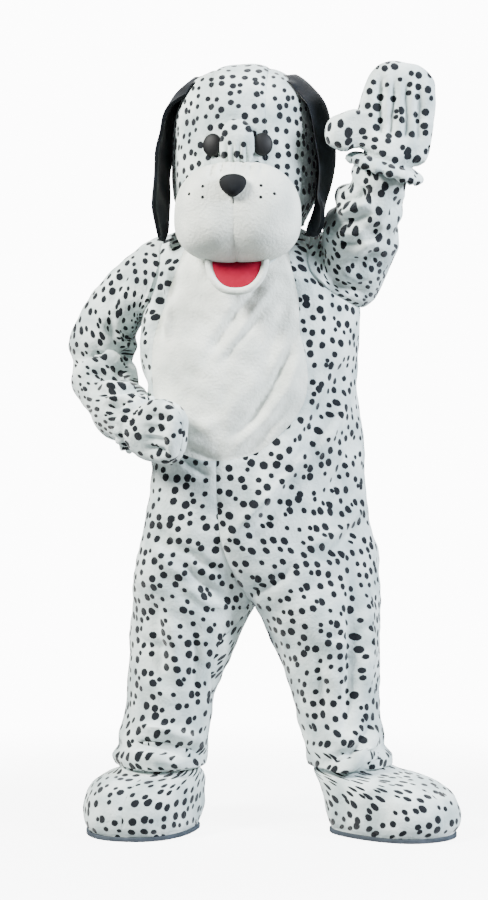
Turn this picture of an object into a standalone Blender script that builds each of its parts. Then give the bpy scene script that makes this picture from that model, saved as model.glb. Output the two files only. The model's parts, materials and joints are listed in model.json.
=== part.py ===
"""Dog mascot costume as it is worn: head, one-piece suit, mitts and shoe covers, without a wearer.

Metres, +Z up, the front faces -Y. The origin is at the base of the neck, between the shoulders.
Left and right are the wearer's own, so the raised arm is the left one, on +X.
"""
import math
from collections import namedtuple

import bmesh
import bpy
from mathutils import Matrix, Vector

# Cloth and seams
PLUSH = 0.0025          # pile cloth with its lining
HEAD_WALL = 0.007       # pile cloth glued to foam
MITT_WALL = 0.004       # lightly padded
SHOE_WALL = 0.005       # padded
SEAM = 0.0003           # two pieces at a seam
FLOOR = -1.388          # the ground under the soles

# Suit: how many cells each run of rows gets
CELLS_NECK = 2
CELLS_ARMHOLE = 9
CELLS_TRUNK = 9
CELLS_LEG = 9
CELLS_ROUND = 7         # from a side seam to a centre seam
CELLS_SLEEVE = 10       # along a sleeve
STEPS_SLEEVE = 60       # steps in which an arm's frames are carried along it

ARM_START = 0.060       # how far a sleeve stands straight out before it bends its own way
CLEAR_ARM = 0.0075      # how far it keeps off the suit
CLEAR_HAND = 0.0015     # and how far the mitt does that rests on the hip
CLEAR_HEM = 0.0070      # how far a shoe cover's collar stays inside its hem's form

CROTCH = -0.868
HEM = -1.236

ZIP_WIDTH = 0.008       # the strip that the two back panels leave
ZIP_END = -0.60
HAND_LEFT = (0.13, -0.04, 0.99)         # where the mitts point
HAND_RIGHT = (0.76, -0.62, -0.14)

# The trunk and legs, by height. left and right are the outline's edges, mid is where the halves
# meet, axis is how far out each half's own centre lies (0.5 closes a leg), front and back are
# depths from y, and turn moves the front sideways, because the wearer's body is turned a little.
Ring = namedtuple("Ring", "z left right mid axis front back y turn")
BODY = (
    Ring(0.052, -0.086, 0.088, 0.000, 0.000, 0.078, 0.080, 0.012, 0.000),
    Ring(0.044, -0.118, 0.122, 0.000, 0.000, 0.092, 0.090, 0.012, 0.000),
    Ring(0.030, -0.170, 0.160, 0.002, 0.000, 0.107, 0.102, 0.010, -0.004),
    Ring(0.008, -0.203, 0.196, 0.004, 0.000, 0.122, 0.114, 0.008, -0.010),
    Ring(-0.025, -0.224, 0.226, 0.007, 0.000, 0.138, 0.126, 0.005, -0.018),
    Ring(-0.070, -0.234, 0.252, 0.011, 0.000, 0.154, 0.138, 0.002, -0.027),
    Ring(-0.137, -0.238, 0.278, 0.016, 0.000, 0.172, 0.150, 0.000, -0.036),
    Ring(-0.200, -0.240, 0.281, 0.019, 0.000, 0.184, 0.158, 0.000, -0.042),
    Ring(-0.280, -0.238, 0.276, 0.020, 0.000, 0.196, 0.167, 0.000, -0.052),
    Ring(-0.340, -0.226, 0.272, 0.022, 0.000, 0.201, 0.173, 0.000, -0.062),
    Ring(-0.400, -0.214, 0.277, 0.026, 0.010, 0.202, 0.178, 0.000, -0.076),
    Ring(-0.460, -0.203, 0.285, 0.031, 0.030, 0.200, 0.183, 0.000, -0.090),
    Ring(-0.540, -0.196, 0.290, 0.035, 0.070, 0.196, 0.187, 0.002, -0.100),
    Ring(-0.612, -0.204, 0.293, 0.035, 0.130, 0.192, 0.188, 0.004, -0.099),
    Ring(-0.690, -0.220, 0.307, 0.033, 0.225, 0.187, 0.186, 0.006, -0.092),
    Ring(-0.756, -0.239, 0.327, 0.031, 0.325, 0.180, 0.182, 0.008, -0.078),
    Ring(-0.810, -0.254, 0.330, 0.029, 0.415, 0.172, 0.177, 0.008, -0.058),
    Ring(-0.868, -0.265, 0.329, 0.028, 0.500, 0.163, 0.168, 0.008, -0.026),
    Ring(-0.910, -0.273, 0.329, 0.027, 0.535, 0.157, 0.160, 0.006, -0.008),
    Ring(-0.960, -0.277, 0.329, 0.026, 0.573, 0.149, 0.152, 0.002, 0.000),
    Ring(-1.020, -0.278, 0.327, 0.024, 0.617, 0.138, 0.143, -0.006, 0.000),
    Ring(-1.080, -0.280, 0.325, 0.024, 0.655, 0.127, 0.133, -0.014, 0.000),
    Ring(-1.130, -0.288, 0.328, 0.028, 0.668, 0.124, 0.128, -0.020, 0.000),
    Ring(-1.170, -0.300, 0.337, 0.032, 0.674, 0.130, 0.128, -0.026, 0.000),
    Ring(-1.192, -0.300, 0.338, 0.036, 0.678, 0.124, 0.122, -0.030, 0.000),
    Ring(-1.215, -0.314, 0.354, 0.036, 0.672, 0.135, 0.126, -0.034, 0.000),
    Ring(-1.240, -0.306, 0.352, 0.036, 0.680, 0.126, 0.118, -0.038, 0.000),
)

# Where a row of the suit runs: its height at the centre front, the centre back, and the side
# seams of the wearer's right and left
Level = namedtuple("Level", "front back right left")
NECK = Level(0.036, 0.062, 0.050, 0.054)
SHOULDER = Level(-0.010, 0.030, 0.026, 0.034)
ARMPIT = Level(-0.190, -0.190, -0.180, -0.150)
FORK = Level(CROTCH, CROTCH, CROTCH, CROTCH)
ANKLE = Level(HEM, HEM, HEM, HEM)
ARMHOLE_TURN = (math.radians(37), math.radians(48))     # wearer's right, wearer's left

# The inside-leg seam of the wearer's right leg has swung to the front below the fork
Swing = namedtuple("Swing", "z angle")
INSEAM_RIGHT = (Swing(-0.868, 180), Swing(-0.905, 150), Swing(-0.950, 132), Swing(-1.000, 134),
                Swing(-1.050, 150), Swing(-1.090, 170), Swing(-1.240, 180))

# Sleeves: points along the middle, with the half sizes across the arm's top and its front
Arm = namedtuple("Arm", "at x y z top front")
SLEEVE_RIGHT = (
    Arm(0.000, -0.214, 0.002, -0.078, 0.104, 0.100),
    Arm(0.125, -0.264, 0.010, -0.104, 0.092, 0.094),
    Arm(0.250, -0.306, 0.022, -0.154, 0.083, 0.088),
    Arm(0.375, -0.339, 0.030, -0.216, 0.077, 0.084),
    Arm(0.500, -0.345, 0.026, -0.282, 0.073, 0.080),
    Arm(0.625, -0.325, -0.012, -0.338, 0.071, 0.076),
    Arm(0.750, -0.297, -0.076, -0.388, 0.070, 0.072),
    Arm(0.875, -0.262, -0.138, -0.420, 0.064, 0.064),
    Arm(1.000, -0.233, -0.176, -0.438, 0.052, 0.053),
)
SLEEVE_LEFT = (
    Arm(0.000, 0.225, 0.000, -0.055, 0.095, 0.100),
    Arm(0.143, 0.258, -0.016, -0.042, 0.093, 0.096),
    Arm(0.286, 0.271, -0.052, -0.010, 0.091, 0.092),
    Arm(0.429, 0.281, -0.094, 0.034, 0.087, 0.086),
    Arm(0.571, 0.296, -0.130, 0.078, 0.079, 0.077),
    Arm(0.714, 0.311, -0.152, 0.121, 0.068, 0.066),
    Arm(0.857, 0.325, -0.166, 0.155, 0.058, 0.057),
    Arm(1.000, 0.334, -0.172, 0.181, 0.054, 0.055),
)
# Which way the top of each sleeve has turned to by its wrist
WRIST_TOP = ((-0.10, 0.10, -1.00), (-1.00, 0.00, 0.10))

# Mitts: distance past the wrist, half widths on the little-finger and thumb sides, half thickness
Palm = namedtuple("Palm", "d little thumb thick")
MITT_LEFT = (
    Palm(-0.036, 0.080, 0.080, 0.076), Palm(-0.024, 0.093, 0.093, 0.086),
    Palm(-0.008, 0.080, 0.080, 0.074),
    Palm(0.000, 0.0, 0.0, 0.0), Palm(0.010, 0.074, 0.086, 0.060), Palm(0.019, 0.081, 0.128, 0.056),
    Palm(0.034, 0.086, 0.154, 0.053), Palm(0.056, 0.088, 0.160, 0.051),
    Palm(0.077, 0.088, 0.150, 0.049), Palm(0.091, 0.088, 0.122, 0.048),
    Palm(0.102, 0.088, 0.091, 0.047), Palm(0.138, 0.088, 0.087, 0.047),
    Palm(0.178, 0.081, 0.080, 0.043), Palm(0.208, 0.063, 0.061, 0.035),
    Palm(0.223, 0.035, 0.033, 0.022),
)
MITT_RIGHT = (
    Palm(-0.022, 0.074, 0.072, 0.068), Palm(-0.009, 0.068, 0.067, 0.064),
    Palm(0.000, 0.0, 0.0, 0.0), Palm(0.016, 0.064, 0.066, 0.054), Palm(0.038, 0.070, 0.074, 0.048),
    Palm(0.060, 0.071, 0.077, 0.046), Palm(0.086, 0.069, 0.074, 0.044),
    Palm(0.108, 0.060, 0.063, 0.038), Palm(0.122, 0.040, 0.042, 0.027),
)


def between(table, key):
    """The table's row at a key: a smooth curve through its rows that never overshoots them."""
    keys = [row[0] for row in table]
    flip = keys[0] > keys[-1]
    rows = tuple(reversed(table)) if flip else table
    keys = [row[0] for row in rows]
    key = min(max(key, keys[0]), keys[-1])
    i = max(k for k in range(len(keys) - 1) if keys[k] <= key)
    span = keys[i + 1] - keys[i]
    t = (key - keys[i]) / span

    def slope(k, c):
        if k == 0 or k == len(rows) - 1:
            k0, k1 = (0, 1) if k == 0 else (k - 1, k)
            return (rows[k1][c] - rows[k0][c]) / (keys[k1] - keys[k0])
        before = (rows[k][c] - rows[k - 1][c]) / (keys[k] - keys[k - 1])
        after = (rows[k + 1][c] - rows[k][c]) / (keys[k + 1] - keys[k])
        if before * after <= 0:
            return 0.0
        return 2 * before * after / (before + after)

    values = []
    for c in range(len(rows[0])):
        p0, p1 = rows[i][c], rows[i + 1][c]
        m0, m1 = slope(i, c) * span, slope(i + 1, c) * span
        values.append((2 * t**3 - 3 * t**2 + 1) * p0 + (t**3 - 2 * t**2 + t) * m0
                      + (3 * t**2 - 2 * t**3) * p1 + (t**3 - t**2) * m1)
    return type(rows[0])(*values)


def mapped_grid(bm, across, down, place, inside, label):
    """Add a grid of cells, put each point where place(u, v) says, and face it away from inside."""
    made = bmesh.ops.create_grid(bm, x_segments=across, y_segments=down, size=1.0)["verts"]
    faces = {face for vert in made for face in vert.link_faces}
    centres = {}
    for vert in made:
        u = round((vert.co.x + 1) / 2 * across) / across
        v = round((vert.co.y + 1) / 2 * down) / down
        vert.co = place(u, v)
        centres[vert] = inside(u, v)
    out = 0.0
    for face in faces:
        face.normal_update()
        middle = sum((centres[vert] for vert in face.verts), Vector()) / len(face.verts)
        out += face.normal.dot(face.calc_center_median() - middle) * face.calc_area()
        face.material_index = label
    if out < 0:
        bmesh.ops.reverse_faces(bm, faces=list(faces))
    return made


def blend(a, b, t):
    return a + (b - a) * t


def ease(t):
    t = min(max(t, 0.0), 1.0)
    return t * t * (3 - 2 * t)


# Suit

def body_point(side, z, angle):
    """A point of the trunk or a leg. angle runs from the side seam, minus towards the front."""
    ring = between(BODY, z)
    reach = ring.right - ring.mid if side > 0 else ring.mid - ring.left
    axis = ring.axis * reach
    half = reach - axis
    across, along = math.cos(angle), math.sin(angle)
    depth = ring.front if along < 0 else ring.back
    shift = -ring.turn * along * (1.0 if along < 0 else 0.4)
    return Vector((ring.mid + side * (axis + half * across) + shift, ring.y + depth * along, z))


def body_middle(side, z):
    ring = between(BODY, z)
    reach = ring.right - ring.mid if side > 0 else ring.mid - ring.left
    return Vector((ring.mid + side * ring.axis * reach, ring.y, z))


def polar(side, point):
    """A half's ring at a point's height, with the point's angle and share of the way out in it."""
    ring = between(BODY, point.z)
    reach = ring.right - ring.mid if side > 0 else ring.mid - ring.left
    along = (point.y - ring.y) / (ring.front if point.y < ring.y else ring.back)
    shift = -ring.turn * along * (1.0 if along < 0 else 0.4)
    across = (side * (point.x - ring.mid - shift) / reach - ring.axis) / (1 - ring.axis)
    size = math.hypot(reach * (1 - ring.axis) * across, ring.back * along) or 1.0
    out = math.hypot(across, along)
    return math.atan2(along, across), out, size / (out or 1.0)


def pushed_out(side, point, margin):
    """The point, or if it is nearer to the suit than the margin, the spot level with it outside."""
    angle, out, size = polar(side, point)
    if not HEM < point.z < 0.05 or out > 1.4:
        return point
    edge = body_point(side, point.z, angle)
    least = 1 + (margin + max(0.0, fold_height(edge))) / size
    if out >= least:
        return point
    middle = body_middle(side, point.z)
    return middle + (edge - middle) * least


def tucked_in(side, point, margin):
    """The point, or above the hem the spot level with it that is just inside the leg's form."""
    if point.z < HEM - 0.004:
        return point
    angle, out, size = polar(side, point)
    middle = body_middle(side, point.z)
    return middle + (body_point(side, point.z, angle) - middle) * (1 - margin / size)


def meeting_angle(z):
    """Where a half's ring reaches the middle of the body: a full half turn once it is a leg."""
    axis = between(BODY, z).axis
    return math.pi if axis >= 0.4999 else math.acos(-axis / (1 - axis))


def suit_rows(side, back):
    """For each row: its height at the side seam, at the centre seam, and its armhole angle."""
    def pick(level):
        return (level.left if side > 0 else level.right), (level.back if back else level.front)

    rows = []
    stops = ((NECK, SHOULDER, CELLS_NECK), (SHOULDER, ARMPIT, CELLS_ARMHOLE),
             (ARMPIT, FORK, CELLS_TRUNK), (FORK, ANKLE, CELLS_LEG))
    for top, bottom, cells in stops:
        (s0, c0), (s1, c1) = pick(top), pick(bottom)
        for k in range(cells):
            t = k / cells
            hole = 0.0
            t_side = t
            if top is SHOULDER:
                t_side = (1 - math.cos(math.pi * t)) / 2
                hole = ARMHOLE_TURN[side > 0] * math.sin(math.pi * t)
            elif top is FORK:
                t = t_side = 1 - (1 - t) ** 1.5
            rows.append((blend(s0, s1, t_side), blend(c0, c1, t), hole))
    rows.append((HEM, HEM, 0.0))
    return rows


def inner_angle(side, z, back):
    """The angle of the centre seam above the fork and of the inside-leg seam below it."""
    if z >= CROTCH - 1e-9:
        return meeting_angle(z)
    swing = math.radians(between(INSEAM_RIGHT, z).angle) if side < 0 else math.pi
    return 2 * math.pi - swing if back else swing


# The largest folds of the suit, as ridges (or troughs, with a minus) along lines of x and z in
# the view from the front; back ones are seen the same way through the body
Fold = namedtuple("Fold", "height width back line")
FOLDS = (
    Fold(0.014, 0.026, False, ((0.262, -0.197), (0.205, -0.287), (0.159, -0.374), (0.106, -0.469),
                               (0.040, -0.580), (-0.023, -0.686))),
    Fold(-0.010, 0.022, False, ((0.262, -0.262), (0.214, -0.346), (0.166, -0.430), (0.112, -0.520))),
    Fold(0.010, 0.022, False, ((0.268, -0.330), (0.232, -0.396), (0.180, -0.478), (0.120, -0.590))),
    Fold(-0.010, 0.020, False, ((0.256, -0.725), (0.259, -0.930), (0.250, -1.130))),
    Fold(0.009, 0.018, False, ((-0.196, -0.040), (-0.222, -0.140), (-0.228, -0.290))),
    Fold(0.009, 0.018, False, ((0.160, 0.010), (0.176, -0.090), (0.178, -0.220))),
    Fold(-0.007, 0.016, False, ((0.118, -0.107), (0.088, -0.183), (0.058, -0.275), (0.026, -0.478))),
    Fold(0.008, 0.018, False, ((0.125, -0.254), (0.104, -0.381), (0.030, -0.490))),
    Fold(-0.006, 0.016, False, ((0.030, -0.140), (-0.021, -0.206), (-0.080, -0.275))),
    Fold(0.007, 0.018, False, ((-0.120, -0.455), (-0.050, -0.420), (0.010, -0.340))),
    Fold(0.008, 0.022, False, ((-0.236, -0.760), (-0.150, -0.850), (-0.060, -0.900))),
    Fold(-0.007, 0.020, False, ((0.080, -0.870), (0.150, -0.815), (0.240, -0.770))),
    Fold(0.007, 0.022, False, ((-0.250, -1.030), (-0.170, -1.060), (-0.100, -1.050))),
    Fold(0.008, 0.018, False, ((0.330, -1.120), (0.250, -1.180), (0.160, -1.215))),
    Fold(0.010, 0.024, True, ((0.230, -0.300), (0.110, -0.420), (0.030, -0.480))),
    Fold(0.009, 0.024, True, ((-0.190, -0.330), (-0.100, -0.440), (-0.010, -0.520))),
    Fold(-0.008, 0.022, True, ((0.060, -0.860), (0.150, -0.790), (0.260, -0.760))),
    Fold(-0.008, 0.022, True, ((0.000, -0.870), (-0.090, -0.800), (-0.200, -0.770))),
    Fold(0.008, 0.024, True, ((0.300, -1.020), (0.210, -1.060), (0.130, -1.040))),
    Fold(0.008, 0.024, True, ((-0.250, -1.010), (-0.170, -1.050), (-0.090, -1.040))),
)


def fold_height(point):
    """How far the folds lift a point of the suit off its plain form."""
    ring = between(BODY, point.z)
    total = 0.0
    for fold in FOLDS:
        toward = (point.y - ring.y) / (ring.back if fold.back else -ring.front)
        if toward <= 0.05:
            continue
        spot = Vector((point.x, point.z))
        best, where = 1.0, 0.0
        lengths = [(Vector(b) - Vector(a)).length for a, b in zip(fold.line, fold.line[1:])]
        done = 0.0
        for (a, b), length in zip(zip(fold.line, fold.line[1:]), lengths):
            a, b = Vector(a), Vector(b)
            t = min(max((spot - a).dot(b - a) / length**2, 0.0), 1.0)
            gap = (spot - a.lerp(b, t)).length
            if gap < best:
                best, where = gap, (done + t * length) / sum(lengths)
            done += length
        ends = ease(min(where, 1 - where) / 0.22)
        total += fold.height * math.exp(-(best / fold.width) ** 2) * (0.15 + 0.85 * ends) * ease(
            toward / 0.5)
    return total


def add_suit(bm):
    """The trunk and legs as one skin: labels 0 to 3 are the panels and 4 is the zip's strip."""
    for side in (-1, 1):
        for back in (False, True):
            rows = suit_rows(side, back)
            cells = len(rows) - 1
            edges = [k / CELLS_ROUND for k in range(CELLS_ROUND + 1)]
            if back:
                edges.insert(-1, -1.0)      # the column beside the zip, set by its width

            def place(u, v, side=side, back=back, rows=rows, cells=cells, edges=edges):
                z_side, z_centre, hole = rows[round(v * cells)]
                inner = inner_angle(side, z_centre, back)
                share = edges[round(u * (len(edges) - 1))]
                if share < 0:
                    share = zip_share(side, z_centre, inner)
                z = blend(z_side, z_centre, ease(share))
                angle = blend(hole, inner, share)
                return body_point(side, z, angle if back else -angle)

            def inside(u, v, side=side, rows=rows, cells=cells):
                return body_middle(side, rows[round(v * cells)][0])

            label = (0 if side < 0 else 1) + (2 if back else 0)
            made = mapped_grid(bm, len(edges) - 1, cells, place, inside, label)
            if back:
                middle = {vert for vert in made if abs(vert.co.x - seam_x(vert.co.z)) < 1e-6}
                for face in {face for vert in middle for face in vert.link_faces}:
                    low = min(vert.co.z for vert in face.verts)
                    if low > ZIP_END and face.calc_center_median().y > 0:
                        face.material_index = 4


def zip_share(side, z, inner):
    """How far round the back a panel runs before the zip's strip; below it, a cell's half."""
    ring = between(BODY, z)
    reach = ring.right - ring.mid if side > 0 else ring.mid - ring.left
    narrow = ZIP_WIDTH / 2 / (reach * (1 - ring.axis) * inner)
    return 1 - blend(narrow, 0.5 / CELLS_ROUND, ease((ZIP_END - z) / 0.1))


def seam_x(z):
    ring = between(BODY, z)
    return ring.mid - ring.turn * 0.4 * math.sin(meeting_angle(z))


def sleeve_frames(side):
    """Points and directions along a sleeve: middle, way along, towards its top, its front."""
    table = SLEEVE_LEFT if side > 0 else SLEEVE_RIGHT
    frames = []
    top = Vector((0.0, 0.0, 1.0))
    end = Vector(WRIST_TOP[side > 0])
    for step in range(STEPS_SLEEVE + 1):
        t = step / STEPS_SLEEVE
        row = between(table, t)
        a, b = between(table, max(t - 0.02, 0)), between(table, min(t + 0.02, 1))
        way = Vector((b.x - a.x, b.y - a.y, b.z - a.z)).normalized()
        top = (top - way * top.dot(way)).normalized()
        frames.append((row, way, top.copy()))
    row, way, top = frames[-1]
    end = (end - way * end.dot(way)).normalized()
    turn = math.atan2(top.cross(end).dot(way), top.dot(end))
    turned = []
    for step, (row, way, top) in enumerate(frames):
        top = Matrix.Rotation(turn * ease(step / STEPS_SLEEVE), 3, way) @ top
        turned.append((row, way, top, way.cross(top) if side > 0 else top.cross(way)))
    return turned


def armhole_point(side, share):
    """A point of the armhole: share 0 at the armpit, 0.25 in front, 0.5 on the shoulder."""
    back = share > 0.5
    k = 2 * share if not back else 2 - 2 * share
    t = 1 - k
    z_top, z_bottom = (SHOULDER.left, ARMPIT.left) if side > 0 else (SHOULDER.right, ARMPIT.right)
    z = blend(z_top, z_bottom, (1 - math.cos(math.pi * t)) / 2)
    hole = ARMHOLE_TURN[side > 0] * math.sin(math.pi * t)
    return body_point(side, z, hole if back else -hole)


def sleeve_bunch(side, u, v):
    """Bunched folds round a sleeve, deepest on its squeezed side and gone at both ends."""
    squeezed = 0.5 if side > 0 else 0.15
    near = (1 + math.cos(2 * math.pi * (u - squeezed))) / 2
    run = ease((v - 0.25) / 0.2) * ease((0.97 - v) / 0.15)
    return (0.002 + 0.006 * near) * run * math.cos(10 * math.pi * v)


def add_sleeve(bm, side, label):
    frames = sleeve_frames(side)

    def place(u, v):
        row, way, top, front = frames[round(v * STEPS_SLEEVE)]
        middle = Vector((row.x, row.y, row.z))
        bunch = sleeve_bunch(side, u, v)
        ring = (middle - top * ((row.top + bunch) * math.cos(2 * math.pi * u))
                + front * ((row.front + bunch) * math.sin(2 * math.pi * u)))
        if v == 0:
            return armhole_point(side, u)
        if v < 0.45:
            start = armhole_point(side, u) + Vector((side * ARM_START * v / 0.45, 0, 0))
            ring = start.lerp(ring, ease(v / 0.45))
        return pushed_out(side, ring, CLEAR_ARM * ease(v / 0.25))

    def inside(u, v):
        row = frames[round(v * STEPS_SLEEVE)][0]
        return Vector((row.x, row.y, row.z))

    mapped_grid(bm, 2 * CELLS_ARMHOLE, CELLS_SLEEVE, place, inside, label)


# Mitts

def add_mitt(bm, side):
    """A mitt over the end of its sleeve: label 0 is the palm half and 1 the back half."""
    row, way, top, front = sleeve_frames(side)[-1]
    wrist = Vector((row.x, row.y, row.z))
    table, axis, thumb_up = ((MITT_LEFT, HAND_LEFT, 1) if side > 0
                             else (MITT_RIGHT, HAND_RIGHT, -1))
    axis = Vector(axis).normalized()
    grip = 0.0004 + MITT_WALL

    def ring(at):
        """Middle, direction to the thumb side, direction to the palm side, and sizes at a row."""
        palm = table[at] if at < len(table) else None
        d = palm.d if palm else table[-1].d + 0.006
        turned = ease((d - 0.0) / 0.05)
        heading = way.lerp(axis, turned).normalized()
        middle = wrist + way * min(d, 0.0)
        if d > 0:
            steps = 12
            for k in range(steps):
                part = way.lerp(axis, ease((d * (k + 0.5) / steps) / 0.05)).normalized()
                middle = middle + part * (d / steps)
        across = (top - heading * top.dot(heading)).normalized()
        palmward = heading.cross(across)
        if palm is None:
            return middle, across, palmward, 0.0, 0.0, 0.0
        if palm.d == 0.0:
            return middle, across, palmward, row.top + grip, row.top + grip, row.front + grip
        high, low = (palm.thumb, palm.little) if thumb_up > 0 else (palm.little, palm.thumb)
        return middle, across, palmward, high, low, palm.thick

    rings = [ring(k) for k in range(len(table) + 1)]
    depths = [palm.d for palm in table] + [table[-1].d]
    for half in (0, 1):
        def place(u, v, half=half):
            middle, across, palmward, high, low, thick = rings[round(v * len(table))]
            share = (u + half) / 2
            c, s = -math.cos(2 * math.pi * share), math.sin(2 * math.pi * share)
            full = 1 - 0.3 * ease(depths[round(v * len(table))] / 0.04)
            point = (middle + across * ((high if c > 0 else low) * c)
                     + palmward * (thick * math.copysign(abs(s) ** full, s)))
            return pushed_out(side, point, CLEAR_HAND)

        def inside(u, v):
            return rings[round(v * len(table))][0]

        mapped_grid(bm, CELLS_ARMHOLE, len(table), place, inside, half)


# Head and shoe covers

HeadRing = namedtuple("HeadRing", "z half front back")
HEAD = (
    HeadRing(0.4240, 0.0, 0.0, 0.0), HeadRing(0.4200, 0.045, 0.046, 0.048),
    HeadRing(0.4100, 0.080, 0.082, 0.086), HeadRing(0.3930, 0.110, 0.113, 0.119),
    HeadRing(0.3660, 0.137, 0.139, 0.147), HeadRing(0.3250, 0.156, 0.158, 0.170),
    HeadRing(0.2750, 0.166, 0.168, 0.182), HeadRing(0.2200, 0.171, 0.172, 0.188),
    HeadRing(0.1650, 0.172, 0.173, 0.190), HeadRing(0.1100, 0.170, 0.171, 0.188),
    HeadRing(0.0600, 0.164, 0.167, 0.181), HeadRing(0.0120, 0.157, 0.160, 0.168),
    HeadRing(-0.0350, 0.149, 0.157, 0.156), HeadRing(-0.0720, 0.142, 0.152, 0.142),
)
HEAD_AT = (0.002, -0.035, -6.0)         # its axis, and how far it looks to the wearer's right
HEAD_ROUND = 28
RIM_SIDE, RIM_BACK = 0.0439, 0.0437       # the rim rises from the chin over the shoulders
RIM_FROM = 0.110
GORE_HALF = 0.064                       # half the strip that runs over the crown


def head_point(row, angle):
    """A point on the head: angle 0 in front, positive towards the wearer's left."""
    ring = between(HEAD, row) if not isinstance(row, int) else HEAD[row]
    across, along = math.sin(angle), math.cos(angle)
    rim = RIM_SIDE if along > 0 else RIM_BACK
    lift = blend(HEAD[-1].z, rim, ease(1.4 * (1 - along)))
    z = ring.z
    if z < RIM_FROM:
        z = RIM_FROM + (z - RIM_FROM) * (lift - RIM_FROM) / (HEAD[-1].z - RIM_FROM)
    return Vector((ring.half * across, -(ring.front if along > 0 else ring.back) * along, z))


def head_matrix():
    x, y, yaw = HEAD_AT
    return Matrix.Translation((x, y, 0)) @ Matrix.Rotation(math.radians(yaw), 4, "Z")


def head_skin(grow=0.0):
    bm = bmesh.new()

    def place(u, v):
        return head_point(round(v * (len(HEAD) - 1)), 2 * math.pi * u)

    mapped_grid(bm, HEAD_ROUND, len(HEAD) - 1, place, lambda u, v: Vector((0, 0, 0.2)), 0)
    bmesh.ops.remove_doubles(bm, verts=bm.verts[:], dist=0.000002)
    bmesh.ops.triangulate(bm, faces=bm.faces[:])
    finish_skin(bm)
    for vert in bm.verts:
        vert.co += vert.normal * grow
    return bm


Shell = namedtuple("Shell", "h half toe heel lean")
SHOE = (
    Shell(0.0103, 0.124, 0.190, 0.106, 0.0), Shell(0.032, 0.134, 0.204, 0.115, 0.0),
    Shell(0.060, 0.138, 0.208, 0.118, 0.05), Shell(0.088, 0.136, 0.204, 0.117, 0.15),
    Shell(0.112, 0.129, 0.190, 0.112, 0.35), Shell(0.130, 0.115, 0.160, 0.104, 0.65),
    Shell(0.140, 0.097, 0.116, 0.094, 0.92), Shell(0.1495, 0.087, 0.094, 0.088, 1.0),
    Shell(0.166, 0.081, 0.086, 0.082, 1.0),
    Shell(0.188, 0.076, 0.079, 0.077, 1.0), Shell(0.215, 0.074, 0.076, 0.075, 1.0),
)
# Where each shoe cover's ankle would stand, its yaw, and where its collar stands in fact
SHOE_RIGHT = (-0.234, -0.050, -13.0, 0.034, 0.008)
SHOE_LEFT = (0.328, -0.090, 40.0, -0.068, 0.040)
SHOE_CELLS = 10
SOLE_EDGE = 0.005
SOLE = 0.010


def shoe_ring(shell, angle, grow=0.0):
    """angle 0 at the toe, positive towards +X before the yaw."""
    across, along = math.sin(angle), math.cos(angle)
    power = 2 / 2.3
    across = math.copysign(abs(across) ** power, across)
    along = math.copysign(abs(along) ** power, along)
    reach = (shell.toe if along > 0 else shell.heel) + grow
    return (shell.half + grow) * across, -reach * along


def shoe_place(side, shell, angle, grow=0.0):
    x, y, yaw, dx, dy = SHOE_LEFT if side > 0 else SHOE_RIGHT
    px, py = shoe_ring(shell, angle, grow)
    c, s = math.cos(math.radians(yaw)), math.sin(math.radians(yaw))
    return Vector((x + shell.lean * dx + c * px - s * py, y + shell.lean * dy + s * px + c * py,
                   FLOOR + shell.h))


def add_shoe(bm, side):
    """Label 0 is the half towards +X before the yaw and 1 the other half."""
    for half in (0, 1):
        def place(u, v, half=half):
            shell = SHOE[round(v * (len(SHOE) - 1))]
            point = shoe_place(side, shell, math.pi * u if half == 0 else -math.pi * u)
            return tucked_in(side, point, CLEAR_HEM)

        def inside(u, v):
            shell = SHOE[round(v * (len(SHOE) - 1))]
            return (shoe_place(side, shell, 0.0) + shoe_place(side, shell, math.pi)) / 2

        mapped_grid(bm, SHOE_CELLS, len(SHOE) - 1, place, inside, half)


# Walls cut from a skin

def finish_skin(bm):
    bmesh.ops.remove_doubles(bm, verts=bm.verts[:], dist=0.000002)
    for face in bm.faces:
        face.normal_update()
    for vert in bm.verts:
        vert.normal_update()


def edge_pull(vert, distance):
    """The step that takes a border point of a panel into it by this distance from each border."""
    ways = []
    for edge in vert.link_edges:
        if len(edge.link_faces) == 1:
            face = edge.link_faces[0]
            along = (edge.verts[1].co - edge.verts[0].co).normalized()
            way = face.normal.cross(along)
            if way.dot(face.calc_center_median() - edge.verts[0].co) < 0:
                way.negate()
            ways.append(way)
    if len(ways) != 2:
        return Vector()
    return (ways[0] + ways[1]) * (distance / max(1 + ways[0].dot(ways[1]), 0.25))


def wall(bm, labels, thickness):
    """The faces with these labels as one closed wall, thickened inwards along the skin's normals."""
    out = bm.copy()
    normals = {}
    out.verts.ensure_lookup_table()
    bm.verts.ensure_lookup_table()
    for vert in bm.verts:
        normals[vert.index] = vert.normal.copy()
    keep = out.verts.layers.int.new("from")
    for vert in out.verts:
        vert[keep] = vert.index
    doomed = [face for face in out.faces if face.material_index not in labels]
    bmesh.ops.delete(out, geom=doomed, context="FACES")
    for face in out.faces:
        face.normal_update()
    pulls = {vert: edge_pull(vert, SEAM / 2) for vert in out.verts if vert.is_boundary}
    for vert, pull in pulls.items():
        vert.co += pull
    made = bmesh.ops.extrude_face_region(out, geom=out.faces[:])["geom"]
    inner = {vert for vert in made if isinstance(vert, bmesh.types.BMVert)}
    for vert in inner:
        vert.co -= normals[vert[keep]] * thickness
    # The edge faces of two panels that meet are split alike, so that they stay apart
    for face in out.faces[:]:
        deep = sorted((vert for vert in face.verts if vert in inner), key=lambda v: v[keep])
        near = sorted((vert for vert in face.verts if vert not in inner), key=lambda v: v[keep])
        if len(deep) == len(near) == 2:
            bmesh.utils.face_split(face, near[0], deep[1])
    bmesh.ops.recalc_face_normals(out, faces=out.faces[:])
    return out


COLLECTION = "dog_costume"


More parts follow.
